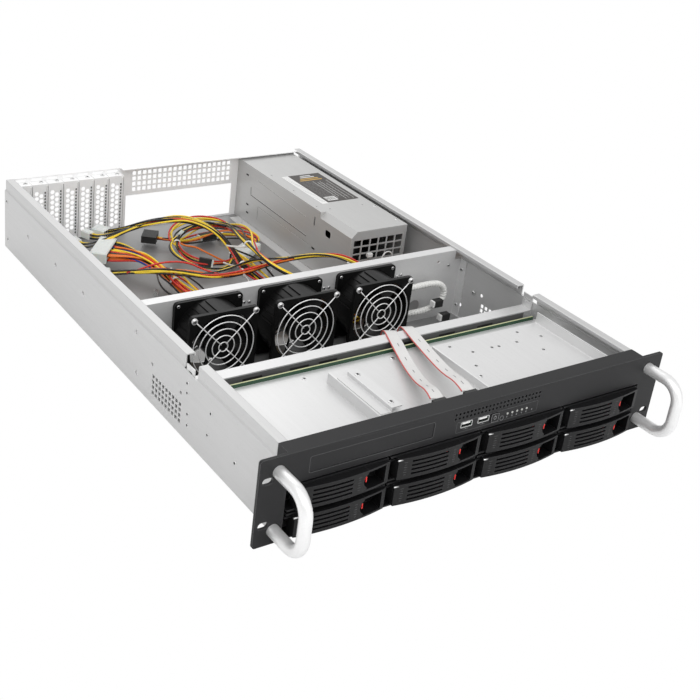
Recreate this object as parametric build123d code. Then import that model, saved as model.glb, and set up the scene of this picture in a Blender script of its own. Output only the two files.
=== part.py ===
from build123d import *
import math
import os

# A rack server chassis, two rack units tall, with its top cover off: sizes in millimetres.
# Drawing frame: X to the right, Y to the rear, Z up, the front face of the panel at Y = 0.

# Overall size
BODY_W = 430.0
BODY_H = 88.0
BODY_D = 650.0
SHEET = 1.2
BEND_R = 1.0
FIT = 0.3

# Upper rim of the side walls
RIM_H = 12.0
RIM_STEP = 1.5
RIM_FLANGE = 10.0
RIM_LIP = 4.0
NOTCH_Y = 156.0
NOTCH_L = 25.0

# Front panel with its rack ears
EAR_SPAN = 482.6
PANEL_T = 3.0
PANEL_R = 3.0
PANEL_LIP_Y = 18.0
RACK_PITCH_X = 465.1
RACK_PITCH_Z = 44.45
RACK_SLOT_L = 10.5
RACK_SLOT_H = 6.8
BAY_HALF_W = BODY_W / 2 - 2
BLANK_X = (24 - BODY_W / 2, -59.0)
BLANK_Z = (BODY_H - 24, BODY_H - 9.5)
VENT_PITCH = 4.5
VENT_HOLE = 2.5
VENT_COUNT = 24
VENT_X0 = -34.0
VENT_Z = (BODY_H - 12, BODY_H - 7.5)
USB_X = (-20.0, 0.5)
USB_Z = BODY_H - 20
POWER_X = 14.5
POWER_SIZE = 9.6
BUTTON_Z = BODY_H - 21.5
RESET_X = 24.5
RESET_R = 2.0
LIGHT_X0 = 31.0
LIGHT_PITCH = 6.1
LIGHT_COUNT = 5
LIGHT_R = 1.3

# Handles on the ears
HANDLE_X = 222.5
HANDLE_Z = (14.5, BODY_H - 14.5)
HANDLE_REACH = 44.0
HANDLE_DIA = 12.0
HANDLE_R = 20.0

# Drive bays: four columns of two rows
COLS = 4
ROWS = 2
COL_PITCH = (2 * BAY_HALF_W - 2) / COLS
ROW_PITCH = (BODY_H - 31.8) / ROWS
ROW_Z0 = 1.3
BAY_TOP = ROW_Z0 + ROWS * ROW_PITCH - 0.6
CAGE_TOP = BAY_TOP + 2.7
CAGE_Y = (5.0, 150.0)
GUIDE_W = 3.6
GUIDE_Z = ROW_Z0 + ROW_PITCH - SHEET

# One drive tray, in its own cell
TRAY_X = (1.4, COL_PITCH - 1.4)
TRAY_Z = (0.3, ROW_PITCH - 2.1)
TRAY_LEDGE = 1.6
TRAY_BACK_Y = 12.0
TRAY_LEN = 140.0
TRAY_RAIL_T = 1.2
TRAY_RAIL_H = 20.0
BOW_END_Y = -3.6
BOW_MID_Y = -8.5
SEAM_X = COL_PITCH - 27
RECESS_WALL = 4.2
RECESS_DEPTH = 9.0
LEVER_X0 = 8.0
LEVER_WALL = 1.8
LEVER_BACK_Y = 6.5
PIVOT_X = 11.0
PIVOT_Y = 4.0
PIVOT_PIN_R = 1.0
PIVOT_PLAY = 0.08
PIVOT_BOSS_R = 3.0
LOUVRE_X = (22.0, SEAM_X - 16)
LOUVRE_PITCH = 4.4
LOUVRE_H = 2.2
LOUVRE_COUNT = 4
SCALLOP_R = 8.0
SCALLOP_DEPTH = 4.0
LATCH_Z = (TRAY_Z[1] - 14.5, TRAY_Z[1] - 8)
LATCH_L = 10.0

# Backplane and the brace behind it
BACKPLANE_T = 1.6
BACKPLANE_TOP = CAGE_TOP + 3.9
BRACE_Y = (163.0, 178.0)
BRACE_TOP = BACKPLANE_TOP + 0.5
BRACE_FOOT = 22.0
BRACE_TAB_TOP = BODY_H - 8

# Fan wall and fans
FAN_WALL_Y = 288.0
FAN_SIZE = BODY_H - 8
FAN_DEPTH = 38.0
FAN_X0 = 83 - BODY_W / 2
FAN_PITCH = (BODY_W - 26) / 4
FAN_COUNT = 3
FAN_Z = BODY_H / 2
FAN_HOLE_PITCH = FAN_SIZE - 8.5
FAN_BORE_R = FAN_SIZE / 2 - 2
FAN_HUB_R = 17.5
FAN_BLADES = 7
FAN_TIP_GAP = 1.2
FAN_FLANGE = 4.5
GUARD_WIRE = 1.6
GUARD_RINGS = 5

# Power supply
PSU_X = (BODY_W / 2 - 101, BODY_W / 2 - 17)
PSU_Y0 = 377.0
PSU_TOP = BODY_H - 4
PSU_SHEET = 1.0
PSU_GRID_COLS = 6
PSU_GRID_ROWS = 5
PSU_GRID_PITCH = (12.6, 9.6)
PSU_GRID_HOLE = (10.8, 7.9)
PSU_CHAMFER = 8.0
PSU_CHAMFER_L = 68.0

# Rear panel
IO_X0 = BODY_W / 2 - 268.5
IO_W = 158.75
IO_Z = (4.0, 48.45)
SLOT_PITCH = 20.32
SLOT_COUNT = int((BODY_W - 287) / SLOT_PITCH)
SLOT_OPEN_W = 14.4
SLOT_X0 = 19.6 - BODY_W / 2
SLOT_Z = (6.0, BODY_H - 8)
SLOT_RECESS = 11.0
PERF_PITCH = 7.4
PERF_PITCH_Z = (BODY_H - IO_Z[1] - 10) / 4
PERF_HOLE = 5.2
PERF_COLS = 20
PERF_ROWS = 4
PERF_X0 = IO_X0 + 8.5
PERF_Z0 = IO_Z[1] + 5.5

# Holes and vents of the side walls, as Y, Z and radius
VENT_SIDE_Y = 184.0
VENT_SIDE_Z = 14.0
VENT_SIDE_L = 63.0
VENT_SIDE_H = 24.0
VENT_SIDE_COLS = 9
VENT_SIDE_ROWS = 4
VENT_SIDE_HOLE = 4.6
SIDE_HOLES = [
    (573.0, 44.0, 2.6), (489.0, 44.0, 2.6), (412.0, 44.0, 2.6), (281.0, 62.0, 2.4), (277.0, 17.0, 2.4),
    (244.0, 44.0, 2.2), (184.0, 45.0, 2.0), (640.0, 62.0, 1.6), (640.0, 15.0, 1.6),
]

# Circuit boards and their sockets
BACKPLANE_X = BODY_W / 2 - 10
BACKPLANE_Z0 = 4.0
SOCKET_X = (COL_PITCH / 2 - 21, COL_PITCH / 2 + 21)
SOCKET_Y = (141.5, 150.0)
SOCKET_Z = (5.0, 13.0)
REAR_SOCKETS = [(27.0, 22.0), (COL_PITCH - 37, 26.0)]
REAR_SOCKET_L = 8.5
REAR_SOCKET_Z = (34.0, 44.0)
SOCKET_WALL = 2.0
CONTROL_X = (-45.0, 64.0)
CONTROL_Y = (12.4, 14.0)
CONTROL_Z = (CAGE_TOP + 1.2, BODY_H - 3)
SWITCH_Y = 8.0

# Brace, brackets and shelf
BRACE_X = BODY_W / 2 - SHEET
BRACE_WINDOW = (70.0, 22.0)
BRACKET_X = -90.0
BRACKET_W = 28.0
BRACKET_TREAD = 13.0
BRACKET_Y = (5.0, 124.0)
STRIP_Y = (40.0, 111.0)
BRACKET_Z = CAGE_TOP + 11.4
STRIP_Z = BRACKET_Z + 5.5
SHELF_X = (45.0, BODY_W / 2 - 25)
SHELF_Y = (8.0, 132.0)
SHELF_EDGE_H = 12.0
SHELF_Z = CAGE_TOP + 8.4
SHELF_HOLES = [(62, 124), (78, 106), (104, 106), (113, 105), (154, 122), (138, 105), (173, 105), (154, 81), (62, 82)]

# Fan wall holes beside the fans, as X, Z and radius, and the fan rotors
FAN_WALL_TOP = BODY_H - 2
FAN_WALL_HOLES = [(BODY_W / 2 - 65, 20.0, 9.0), (BODY_W / 2 - 37, BODY_H - 14, 1.8)]
FAN_WALL_FLANGE = 11.0
FAN_ROTOR_L = 26.0
FAN_PIN_R = 1.5
FAN_PIN_PLAY = 0.06
FAN_PITCH_DEG = 42.0

# Inside and rear of the power supply
PSU_GRID_Z0 = 26.0
PSU_EXIT = (PSU_X[0] + 23.5, 377.0, 12.0)
PSU_EXIT_SIZE = (48.0, 14.0)
PSU_SIDE_HOLES = [(457.0, 67.0, 2.4, 12.0), (426.0, 62.0, 12.0, 9.0), (454.0, 31.0, 8.0, 3.0)]
PSU_FAN_SIZE = 60.0
PSU_FAN_DEPTH = 25.0
PSU_FAN_HUB_R = 13.0
PSU_FAN_X = PSU_X[0] + 51
PSU_FAN_Z = PSU_TOP / 2
INLET_X = (PSU_X[0] + 2.5, PSU_X[0] + 19.5)
INLET_Z = (28.0, 54.0)
CORE_LIFT = 3.8
CORE_BOARD_T = 1.6
CORE_FIN_IN = 16.0
CORE_FIN_T = 3.0
CORE_CANS = 4
CORE_CAN_R = 6.2
CORE_CAN_H = 29.0

# Posts for the main board, as columns and rows
STANDOFF_X = (IO_X0 - 136.5, IO_X0 - 48.5, IO_X0 + 109)
STANDOFF_Y = (PSU_Y0 + 9, PSU_Y0 + 81, PSU_Y0 + 236)
STANDOFF_R = 2.9
STANDOFF_H = 6.5

# Bundles of leads: outer diameter and the corners of the route
BUNDLES = {
    "harness_board": (12.0, [
        (132, 377, 12), (132, 346, 11), (111, 320, 10), (75, 309, 9), (34, 311, 8.5), (-6, 328, 8.5), (-40, 356, 9),
        (-64, 390, 10), (-76, 424, 12), (-81, 452, 16), (-84, 478, 21), (-92, 503, 25), (-107, 524, 27), (-121, 536, 27),
    ]),
    "harness_processor": (8.0, [
        (120, 377, 12), (119, 355, 13), (104, 338, 14), (79, 333, 15), (56, 343, 16), (37, 364, 17), (23, 390, 18),
        (13, 416, 21), (7, 441, 27), (4, 465, 36), (4, 491, 45), (-4, 517, 52), (-24, 540, 56), (-50, 549, 54),
        (-74, 557, 48), (-93, 570, 38), (-106, 584, 30),
    ]),
    "harness_drives": (7.0, [
        (145, 377, 12), (147, 353, 14), (143, 331, 21), (131, 319, 34), (115, 323, 49), (104, 346, 58), (96, 374, 57),
        (82, 400, 50), (59, 417, 42), (30, 423, 36), (0, 421, 33), (-29, 419, 32), (-57, 425, 33), (-80, 440, 34),
        (-103, 458, 33), (-128, 468, 31), (-152, 476, 29),
    ]),
    "harness_storage": (5.0, [
        (71, 526, 11), (84, 535, 10), (88, 551, 9.5), (79, 566, 9), (61, 574, 9), (40, 576, 9), (18, 574, 9),
        (-4, 572, 9.5), (-22, 576, 10.5), (-37, 586, 12),
    ]),
    "harness_loop": (6.5, [
        (156, 377, 12), (157, 354, 12), (152, 332, 13), (136, 316, 14), (111, 308, 19), (86, 310, 28), (62, 324, 35),
        (40, 348, 41), (24, 376, 46), (14, 404, 50), (13, 432, 52), (17, 460, 51), (24, 488, 48), (32, 515, 44),
        (36, 540, 39), (30, 560, 34), (10, 569, 31), (-12, 564, 28), (-29, 550, 25), (-37, 531, 21), (-34, 511, 17),
        (-21, 496, 14), (-3, 488, 12), (15, 489, 11), (29, 499, 11),
    ]),
    "fan_lead": (8.0, [
        (109, 270, 57), (129, 269, 58), (151, 269, 59), (170, 270, 56), (180, 271, 44), (175, 270, 31), (157, 269, 25),
        (134, 269, 24), (110, 270, 25),
    ]),
}

# Plugs on the bundles: middle, length, width, height and the heading of the length in degrees
PLUGS = {
    "plugs_clear": [((-131.5, 544.0, 27.0), 21.0, 51.0, 14.0, 141.0),
                    ((-112.0, 593.5, 28.0), 18.0, 17.0, 12.0, 122.0), ((51.0, 513.4, 11.0), 50.0, 22.0, 11.0, 33.0),
                    ((-162.0, 480.0, 28.0), 20.0, 21.0, 9.0, 158.0)],
    "plugs_black": [((-45.0, 591.6, 12.8), 19.0, 24.0, 9.0, 145.0)],
}

# Flat leads from the front controls: plug middle, heading from the rear and side profile as distance and height
RIBBON_W = 14.0
RIBBON_T = 0.9
RIBBON_Y0 = 24.0
RIBBONS = {
    "ribbon_left": (-37.5, 22.7, [
        (3.1, 83.5), (18, 84.5), (48, 73), (92, 66), (150, 64.9), (172.5, 64.6), (180, 59), (182, 42), (182.5, 20),
    ]),
    "ribbon_right": (0.0, 18.1, [
        (2.5, 83.5), (18, 84.5), (50, 75), (92, 70), (140, 66), (168, 64.6), (175, 59), (177, 42), (177.5, 20),
    ]),
}
RIBBON_PLUG = (15.0, 6.0, 12.0)
ROUTE_PSU_X = 114.0
ROUTE_FAN_X = 70.0
GUIDE_STRIP_W = 13.7

# Small sizes of the panels
REAR_FLANGE = 10.0
LIP_T = 1.6
COVER_T = 1.0
HONEY_R = 3.0
HONEY_WEB = 1.6
HONEY_COLS = 2
HONEY_ROWS = 9
USB_W = 13.6
USB_H = 5.9
RESET_DROP = 3.4
RECESS_LIP = 1.8
TRAY_FOOT_W = 7.0
TRAY_SCREW_Y = (41.3, 101.6)
TRAY_SCREW_Z = 8.0
TRAY_SCREW_R = 1.7
HOOK_X0 = 1.8
HOOK_Y = (1.8, 3.4)
HOOK_Z = (19.0, 20.8)
LATCH_BACK = 0.8
LATCH_DROP = 1.0
LATCH_THUMB_R = 7.0

IN_W = BODY_W / 2 - SHEET
RIM_OUT = BODY_W / 2 - RIM_STEP
RIM_IN = RIM_OUT - RIM_FLANGE
WALL_TOP = BODY_H - RIM_H - RIM_STEP - 1
SLOT_FRONT = BODY_D - SHEET - SLOT_RECESS
FRAME_SHIFT = (HANDLE_REACH + HANDLE_DIA / 2 - BODY_D) / 2


def block(x, y, z):
    """Box between three pairs of limits."""
    size = [b - a for a, b in (x, y, z)]
    return Pos((x[0] + x[1]) / 2, (y[0] + y[1]) / 2, (z[0] + z[1]) / 2) * Box(*size)


def rod(centre, radius, length, axis):
    """Cylinder about its centre, along X, Y or Z."""
    turn = {"X": (0, 90, 0), "Y": (90, 0, 0), "Z": (0, 0, 0)}[axis]
    return Pos(*centre) * Rot(*turn) * Cylinder(radius, length)


def along_x(face, x):
    """Extrusion of a YZ drawing between two X limits."""
    return Pos(x[0], 0, 0) * extrude(Plane.YZ * face, amount=x[1] - x[0])


def along_y(face, y):
    """Extrusion of an XZ drawing between two Y limits."""
    return Pos(0, y[1], 0) * extrude(Plane.XZ * face, amount=y[1] - y[0])


def along_z(face, z):
    """Extrusion of an XY drawing between two Z limits."""
    return Pos(0, 0, z[0]) * extrude(face, amount=z[1] - z[0])


def outline(*points):
    """Closed flat shape through the points."""
    return make_face(Polyline(*points, close=True))


def folded(points, thickness=SHEET, radius=BEND_R):
    """Section of a folded sheet: the path is its outer skin, the sheet lies on its right."""
    path = FilletPolyline(*points, radius=radius)
    return make_face(offset(path, amount=thickness, side=Side.RIGHT, closed=True).edges())


def grid(cols, rows, pitch_x, pitch_z):
    """Centres of a hole pattern that starts at its lower left hole."""
    return [(c * pitch_x, r * pitch_z) for c in range(cols) for r in range(rows)]


def mirrored(shape):
    """The shape with its mirror image across the middle of the chassis."""
    return shape + mirror(shape, about=Plane.YZ)


def chassis_base():
    """Floor and side walls, folded from one sheet, with a stepped rim and a hem along the top."""
    half = [(RIM_IN, BODY_H - RIM_LIP), (RIM_IN, BODY_H), (RIM_OUT, BODY_H), (RIM_OUT, BODY_H - RIM_H),
            (BODY_W / 2, BODY_H - RIM_H - RIM_STEP), (BODY_W / 2, 0)]
    path = half + [(-x, z) for x, z in reversed(half)]
    base = along_y(folded(path), (PANEL_T, BODY_D))
    rim = (WALL_TOP, BODY_H + 1)
    base -= mirrored(block((RIM_IN - 2, BODY_W), (0, PANEL_LIP_Y + FIT), rim))
    base -= mirrored(block((RIM_IN - 2, BODY_W), (NOTCH_Y, NOTCH_Y + NOTCH_L), rim))
    base -= mirrored(side_vent() + side_holes())
    return base


def side_vent():
    """Square holes through the side wall beside the fans."""
    pitch = (VENT_SIDE_L / VENT_SIDE_COLS, VENT_SIDE_H / VENT_SIDE_ROWS)
    holes = [
        Pos(BODY_W / 2, VENT_SIDE_Y + c, VENT_SIDE_Z + r) * Box(4 * SHEET, VENT_SIDE_HOLE, VENT_SIDE_HOLE)
        for c, r in grid(VENT_SIDE_COLS, VENT_SIDE_ROWS, *pitch)
    ]
    return Part() + holes


def side_holes():
    """Rail and rivet holes of the side wall, and the countersunk holes at its rear edge."""
    return Part() + [rod((BODY_W / 2, y, z), r, 4 * SHEET, "X") for y, z, r in SIDE_HOLES]


def rear_panel():
    """Rear wall with the card slots set forward in a shallow box, the port window and a grille."""
    y = (BODY_D - SHEET, BODY_D)
    right = RIM_IN - FIT
    z0 = SHEET
    wall = block((-IN_W, IN_W), y, (z0, WALL_TOP))
    wall += block((-right, right), y, (z0, BODY_H))
    x_slots = slot_box()
    flange = block((x_slots[1] + SHEET, right), (BODY_D - REAR_FLANGE, BODY_D), (BODY_H - SHEET, BODY_H))
    wall += flange
    wall += mirrored(block((IN_W - SHEET, IN_W), (BODY_D - REAR_FLANGE, BODY_D), (z0, SLOT_Z[0] + 60)))
    outer = (y[0] - SLOT_RECESS, y[1])
    wall -= block(x_slots, y, SLOT_Z)
    box = block((x_slots[0] - SHEET, x_slots[1] + SHEET), outer, (SLOT_Z[0] - SHEET, SLOT_Z[1] + SHEET))
    box -= block(x_slots, (outer[0] + SHEET, y[1]), SLOT_Z)
    wall += box
    for i in range(SLOT_COUNT):
        x = SLOT_X0 + i * SLOT_PITCH
        wall -= block((x - SLOT_OPEN_W / 2, x + SLOT_OPEN_W / 2), outer, (SLOT_Z[0] + 2, SLOT_Z[1] - 1))
        hole = Pos(x, (SLOT_Z[1] + SHEET + BODY_H) / 2) * SlotOverall(SLOT_OPEN_W, 3.2)
        wall -= along_y(hole, y)
    wall -= block((IO_X0, IO_X0 + IO_W), (outer[0], y[1]), IO_Z)
    wall -= Part() + [
        block((x, x + PERF_HOLE), y, (z, z + PERF_HOLE))
        for x, z in [(PERF_X0 + a, PERF_Z0 + b) for a, b in grid(PERF_COLS, PERF_ROWS, PERF_PITCH, PERF_PITCH_Z)]
    ]
    wall -= block((PSU_X[0] - FIT, PSU_X[1] + FIT), (BODY_D - 3, BODY_D), (0, PSU_TOP + FIT))
    return wall


def slot_box():
    """Left and right limits of the recessed box that holds the card slots."""
    return (SLOT_X0 - SLOT_PITCH / 2, SLOT_X0 + (SLOT_COUNT - 0.5) * SLOT_PITCH)


def slot_cover():
    """Blank bracket of one card slot: a strip with a honeycomb, a side fold and a screw tab."""
    y1 = BODY_D - SHEET - SLOT_RECESS
    w = SLOT_PITCH - 1.6
    z = (SLOT_Z[0] - 2, SLOT_Z[1] + SHEET + COVER_T)
    cover = block((-w / 2, w / 2), (y1 - COVER_T, y1), z)
    cover += block((-w / 2, w / 2), (y1 - COVER_T, BODY_D - SHEET - FIT), (z[1] - COVER_T, z[1]))
    cell = math.sqrt(3) * HONEY_R + HONEY_WEB
    for c in range(HONEY_COLS):
        rows = HONEY_ROWS - c % 2
        for r in range(rows):
            x = (c - (HONEY_COLS - 1) / 2) * cell * math.sqrt(3) / 2 - 1.2
            zc = (SLOT_Z[0] + SLOT_Z[1]) / 2 + (r - (rows - 1) / 2) * cell
            hexagon = Pos(x, zc) * RegularPolygon(HONEY_R, 6)
            cover -= along_y(hexagon, (y1 - 2, y1 + 1))
    return cover


def slot_covers():
    """The blank brackets of all card slots."""
    one = slot_cover()
    return Compound([Pos(SLOT_X0 + i * SLOT_PITCH, 0, 0) * one for i in range(SLOT_COUNT)])


def front_panel():
    """Thick plate with rack ears, folded back along the top, cut out for the drive bays."""
    plate = Pos(0, BODY_H / 2) * RectangleRounded(EAR_SPAN, BODY_H, PANEL_R)
    for sx in (-1, 1):
        for sz in (-1, 1):
            centre = Pos(sx * RACK_PITCH_X / 2, BODY_H / 2 + sz * RACK_PITCH_Z / 2)
            plate -= centre * SlotOverall(RACK_SLOT_L, RACK_SLOT_H)
    plate -= outline((-BAY_HALF_W, -1), (BAY_HALF_W, -1), (BAY_HALF_W, BAY_TOP), (-BAY_HALF_W, BAY_TOP))
    mid = ((BLANK_X[0] + BLANK_X[1]) / 2, (BLANK_Z[0] + BLANK_Z[1]) / 2)
    plate -= Pos(*mid) * Rectangle(BLANK_X[1] - BLANK_X[0], BLANK_Z[1] - BLANK_Z[0])
    plate -= [
        Pos(VENT_X0 + i * VENT_PITCH, z) * Rectangle(VENT_HOLE, VENT_HOLE)
        for i in range(VENT_COUNT) for z in VENT_Z
    ]
    plate -= [Pos(x, USB_Z) * Rectangle(USB_W + FIT, USB_H + FIT) for x in USB_X]
    plate -= Pos(POWER_X, BUTTON_Z) * Rectangle(POWER_SIZE + FIT, POWER_SIZE + FIT)
    plate -= Pos(RESET_X, BUTTON_Z - RESET_DROP) * Circle(RESET_R + FIT / 2)
    plate -= [Pos(light_x(i), BUTTON_Z) * Circle(LIGHT_R) for i in range(LIGHT_COUNT)]
    panel = along_y(plate, (0, PANEL_T))
    panel += block((-RIM_OUT, RIM_OUT), (0, PANEL_LIP_Y), (BODY_H - LIP_T, BODY_H))
    side = block((RIM_OUT - LIP_T, RIM_OUT), (0, PANEL_LIP_Y), (BODY_H - RIM_H, BODY_H))
    return panel + mirrored(side)


def light_x(i):
    """Place of one status light across the panel."""
    return LIGHT_X0 + i * LIGHT_PITCH


def bay_blank():
    """Blank that closes the slim disc drive bay."""
    x = (BLANK_X[0] + FIT, BLANK_X[1] - FIT)
    z = (BLANK_Z[0] + FIT, BLANK_Z[1] - FIT)
    face = block(x, (0.4, PANEL_T), z)
    back = block((x[0] + 4, x[1] - 4), (PANEL_T, CAGE_Y[0] - FIT), (z[0] + 1, z[1] - 1))
    return face + back - block((x[0] + 6, x[1] - 6), (PANEL_T, CAGE_Y[0]), (z[0] + 2.2, z[1] - 2.2))


def handle(side):
    """Round bar bent to a U, screwed to one ear."""
    x = side * HANDLE_X
    path = FilletPolyline(
        (x, 0, HANDLE_Z[0]), (x, -HANDLE_REACH, HANDLE_Z[0]), (x, -HANDLE_REACH, HANDLE_Z[1]), (x, 0, HANDLE_Z[1]),
        radius=HANDLE_R,
    )
    return sweep(Plane.XZ * Pos(x, HANDLE_Z[0]) * Circle(HANDLE_DIA / 2), path=path)


def cell(i):
    """Left edge and bottom of a drive cell, counted along the bottom row and then the top one."""
    return (i % COLS - COLS / 2) * COL_PITCH, ROW_Z0 + (i // COLS) * ROW_PITCH


def bowed(x, back_y, z, inset=0.0):
    """Slab whose front face is bowed in plan, cut between two X limits."""
    front = ThreePointArc(
        (TRAY_X[0], BOW_END_Y + inset), (COL_PITCH / 2, BOW_MID_Y + inset), (TRAY_X[1], BOW_END_Y + inset)
    )
    sides = Polyline(front @ 1, (TRAY_X[1], back_y), (TRAY_X[0], back_y), front @ 0)
    slab = along_z(make_face([front, sides]), z)
    return slab & block(x, (BOW_MID_Y - 1, back_y), z)


def tray_solids():
    """Carrier of one drive, open at the top and rear, and the steel pin of its lever."""
    lever_z = lever_limits()
    body = block(TRAY_X, (-1, TRAY_BACK_Y), (TRAY_Z[0], TRAY_Z[0] + TRAY_LEDGE))
    body += block(TRAY_X, (-1, TRAY_BACK_Y), (TRAY_Z[1] - TRAY_LEDGE, TRAY_Z[1]))
    body += bowed((SEAM_X + FIT, TRAY_X[1]), TRAY_BACK_Y, lever_z)
    body += block((PIVOT_X + 5, TRAY_X[1]), (RECESS_DEPTH, TRAY_BACK_Y), TRAY_Z)
    recess_z = (lever_z[0] + RECESS_LIP, lever_z[1] - RECESS_LIP)
    body -= block((SEAM_X, TRAY_X[1] - RECESS_WALL), (BOW_MID_Y - 1, RECESS_DEPTH), recess_z)
    body -= block((LOUVRE_X[0], LOUVRE_X[1]), (0, TRAY_BACK_Y + 1), (TRAY_Z[0] + 5, TRAY_Z[1] - 5))
    rail_y = (TRAY_BACK_Y - 1, TRAY_LEN)
    for x0, foot in ((TRAY_X[0], 1), (TRAY_X[1], -1)):
        wall = sorted((x0, x0 + foot * TRAY_RAIL_T))
        ledge = sorted((x0, x0 + foot * TRAY_FOOT_W))
        body += block(wall, rail_y, (TRAY_Z[0], TRAY_Z[0] + TRAY_RAIL_H))
        body += block(ledge, rail_y, (TRAY_Z[0], TRAY_Z[0] + TRAY_RAIL_T))
        for y in TRAY_SCREW_Y:
            body -= rod((x0, y, TRAY_Z[0] + TRAY_SCREW_Z), TRAY_SCREW_R, 4 * TRAY_RAIL_T, "X")
    body += block(TRAY_X, (TRAY_LEN - 8, TRAY_LEN), (TRAY_Z[0], TRAY_Z[0] + TRAY_RAIL_T))
    middle = (PIVOT_X, PIVOT_Y, (TRAY_Z[0] + TRAY_Z[1]) / 2)
    pin = rod(middle, PIVOT_PIN_R, TRAY_Z[1] - TRAY_Z[0], "Z")
    return [body - pin, pin]


def lever_limits():
    """Bottom and top of a lever, between the ledges of its tray."""
    return (TRAY_Z[0] + TRAY_LEDGE + FIT, TRAY_Z[1] - TRAY_LEDGE - FIT)


def lever_solid():
    """Louvred front lever of a tray: a bowed shell that turns on a pin at its left end."""
    z = lever_limits()
    inner_z = (z[0] + LEVER_WALL, z[1] - LEVER_WALL)
    middle = (z[0] + z[1]) / 2
    lever = bowed((LEVER_X0, SEAM_X), LEVER_BACK_Y, z)
    lever -= bowed((LEVER_X0 + LEVER_WALL, SEAM_X - LEVER_WALL), LEVER_BACK_Y, inner_z, LEVER_WALL)
    lever += rod((PIVOT_X, PIVOT_Y, middle), PIVOT_BOSS_R, z[1] - z[0], "Z")
    lever -= rod((PIVOT_X, PIVOT_Y, middle), PIVOT_PIN_R + PIVOT_PLAY, z[1] - z[0], "Z")
    for i in range(LOUVRE_COUNT):
        zc = middle + (i - (LOUVRE_COUNT - 1) / 2) * LOUVRE_PITCH
        lever -= block(LOUVRE_X, (BOW_MID_Y - 1, 0), (zc - LOUVRE_H / 2, zc + LOUVRE_H / 2))
    scallop = (SEAM_X + SCALLOP_R - SCALLOP_DEPTH, 0, LATCH_Z[0] + 2)
    lever -= rod(scallop, SCALLOP_R, 40, "Y")
    lever -= block((SEAM_X - 2 * LEVER_WALL, SEAM_X), (BOW_MID_Y + LEVER_WALL, 2), (LATCH_Z[0] - FIT, LATCH_Z[1] + FIT))
    lever += block((HOOK_X0, LEVER_X0 + 0.5), HOOK_Y, HOOK_Z)
    return lever


def latch_solid():
    """Release button at the free end of a lever, hollowed for a finger tip."""
    x = (SEAM_X - LATCH_L, SEAM_X - LATCH_BACK)
    front = BOW_MID_Y + LEVER_WALL + LATCH_DROP
    latch = block(x, (front, 1.6), LATCH_Z)
    thumb = (x[1] + LATCH_THUMB_R - 1.6, 0, LATCH_Z[0])
    return latch - rod(thumb, LATCH_THUMB_R, 40, "Y")


def drive_cage():
    """Cage of the drive bays: a top sheet, and a divider with its tray guides beside each column."""
    sheets = [block((-IN_W, IN_W), CAGE_Y, (CAGE_TOP - SHEET, CAGE_TOP))]
    for i in range(COLS + 1):
        x = (i - COLS / 2) * COL_PITCH
        if i in (0, COLS):
            x = math.copysign(IN_W - SHEET / 2, x)
        divider = block((x - SHEET / 2, x + SHEET / 2), CAGE_Y, (SHEET, CAGE_TOP - SHEET))
        arms = (0 if i == 0 else GUIDE_W, 0 if i == COLS else GUIDE_W)
        divider += block((x - SHEET / 2 - arms[0], x + SHEET / 2 + arms[1]), CAGE_Y, (GUIDE_Z, GUIDE_Z + SHEET))
        sheets.append(divider)
    return sheets


def backplane():
    """Circuit board across the rear of the cage with one drive socket for each tray."""
    board = block((-BACKPLANE_X, BACKPLANE_X), (CAGE_Y[1], CAGE_Y[1] + BACKPLANE_T), (BACKPLANE_Z0, BACKPLANE_TOP))
    for i in range(COLS * ROWS):
        x, z = cell(i)
        socket = block((x + SOCKET_X[0], x + SOCKET_X[1]), SOCKET_Y, (z + SOCKET_Z[0], z + SOCKET_Z[1]))
        blade = block(
            (x + SOCKET_X[0] + 4, x + SOCKET_X[1] - 4), (SOCKET_Y[0] - 1, SOCKET_Y[0] + 6),
            (z + SOCKET_Z[0] + 3, z + SOCKET_Z[1] - 3),
        )
        board += socket - blade
    return board


def power_sockets():
    """Sockets on the rear of the backplane for the drive power and data leads."""
    y = (CAGE_Y[1] + BACKPLANE_T, CAGE_Y[1] + BACKPLANE_T + REAR_SOCKET_L)
    sockets = []
    for i in range(COLS):
        for x_mid, width in REAR_SOCKETS:
            x = cell(i)[0] + x_mid
            body = block((x - width / 2, x + width / 2), y, REAR_SOCKET_Z)
            pocket_z = (REAR_SOCKET_Z[0] + SOCKET_WALL, REAR_SOCKET_Z[1] - SOCKET_WALL)
            pocket_x = (x - width / 2 + SOCKET_WALL, x + width / 2 - SOCKET_WALL)
            sockets.append(body - block(pocket_x, (y[0] + SOCKET_WALL, y[1] + 1), pocket_z))
    return sockets


def cross_brace():
    """Channel across the chassis behind the backplane, with an upright tab at each end."""
    web = block((-BRACE_X, BRACE_X), (BRACE_Y[0], BRACE_Y[0] + SHEET), (BRACE_FOOT, BRACE_TOP))
    web += block((-BRACE_X, BRACE_X), BRACE_Y, (BRACE_TOP - SHEET, BRACE_TOP))
    web += block((-BRACE_X, BRACE_X), (BRACE_Y[1] - SHEET, BRACE_Y[1]), (BRACE_TOP - 10, BRACE_TOP))
    for i in range(COLS):
        x = (i - COLS / 2 + 0.5) * COL_PITCH
        window = Pos(x, (BRACE_FOOT + BRACE_TOP) / 2 - 2) * RectangleRounded(*BRACE_WINDOW, 5)
        web -= along_y(window, (BRACE_Y[0] - 1, BRACE_Y[0] + SHEET + 1))
    tab = block((BRACE_X - SHEET, BRACE_X), (BRACE_Y[0], BRACE_Y[1]), (BRACE_FOOT, BRACE_TAB_TOP))
    slot = Pos((BRACE_Y[0] + BRACE_Y[1]) / 2, BRACE_TAB_TOP - 7) * SlotOverall(8, 3.6)
    return web + mirrored(tab - along_x(slot, (BRACE_X - 3, BRACE_X + 1)))


def fan_x(i):
    """Place of one fan across the chassis."""
    return FAN_X0 + i * FAN_PITCH


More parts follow.
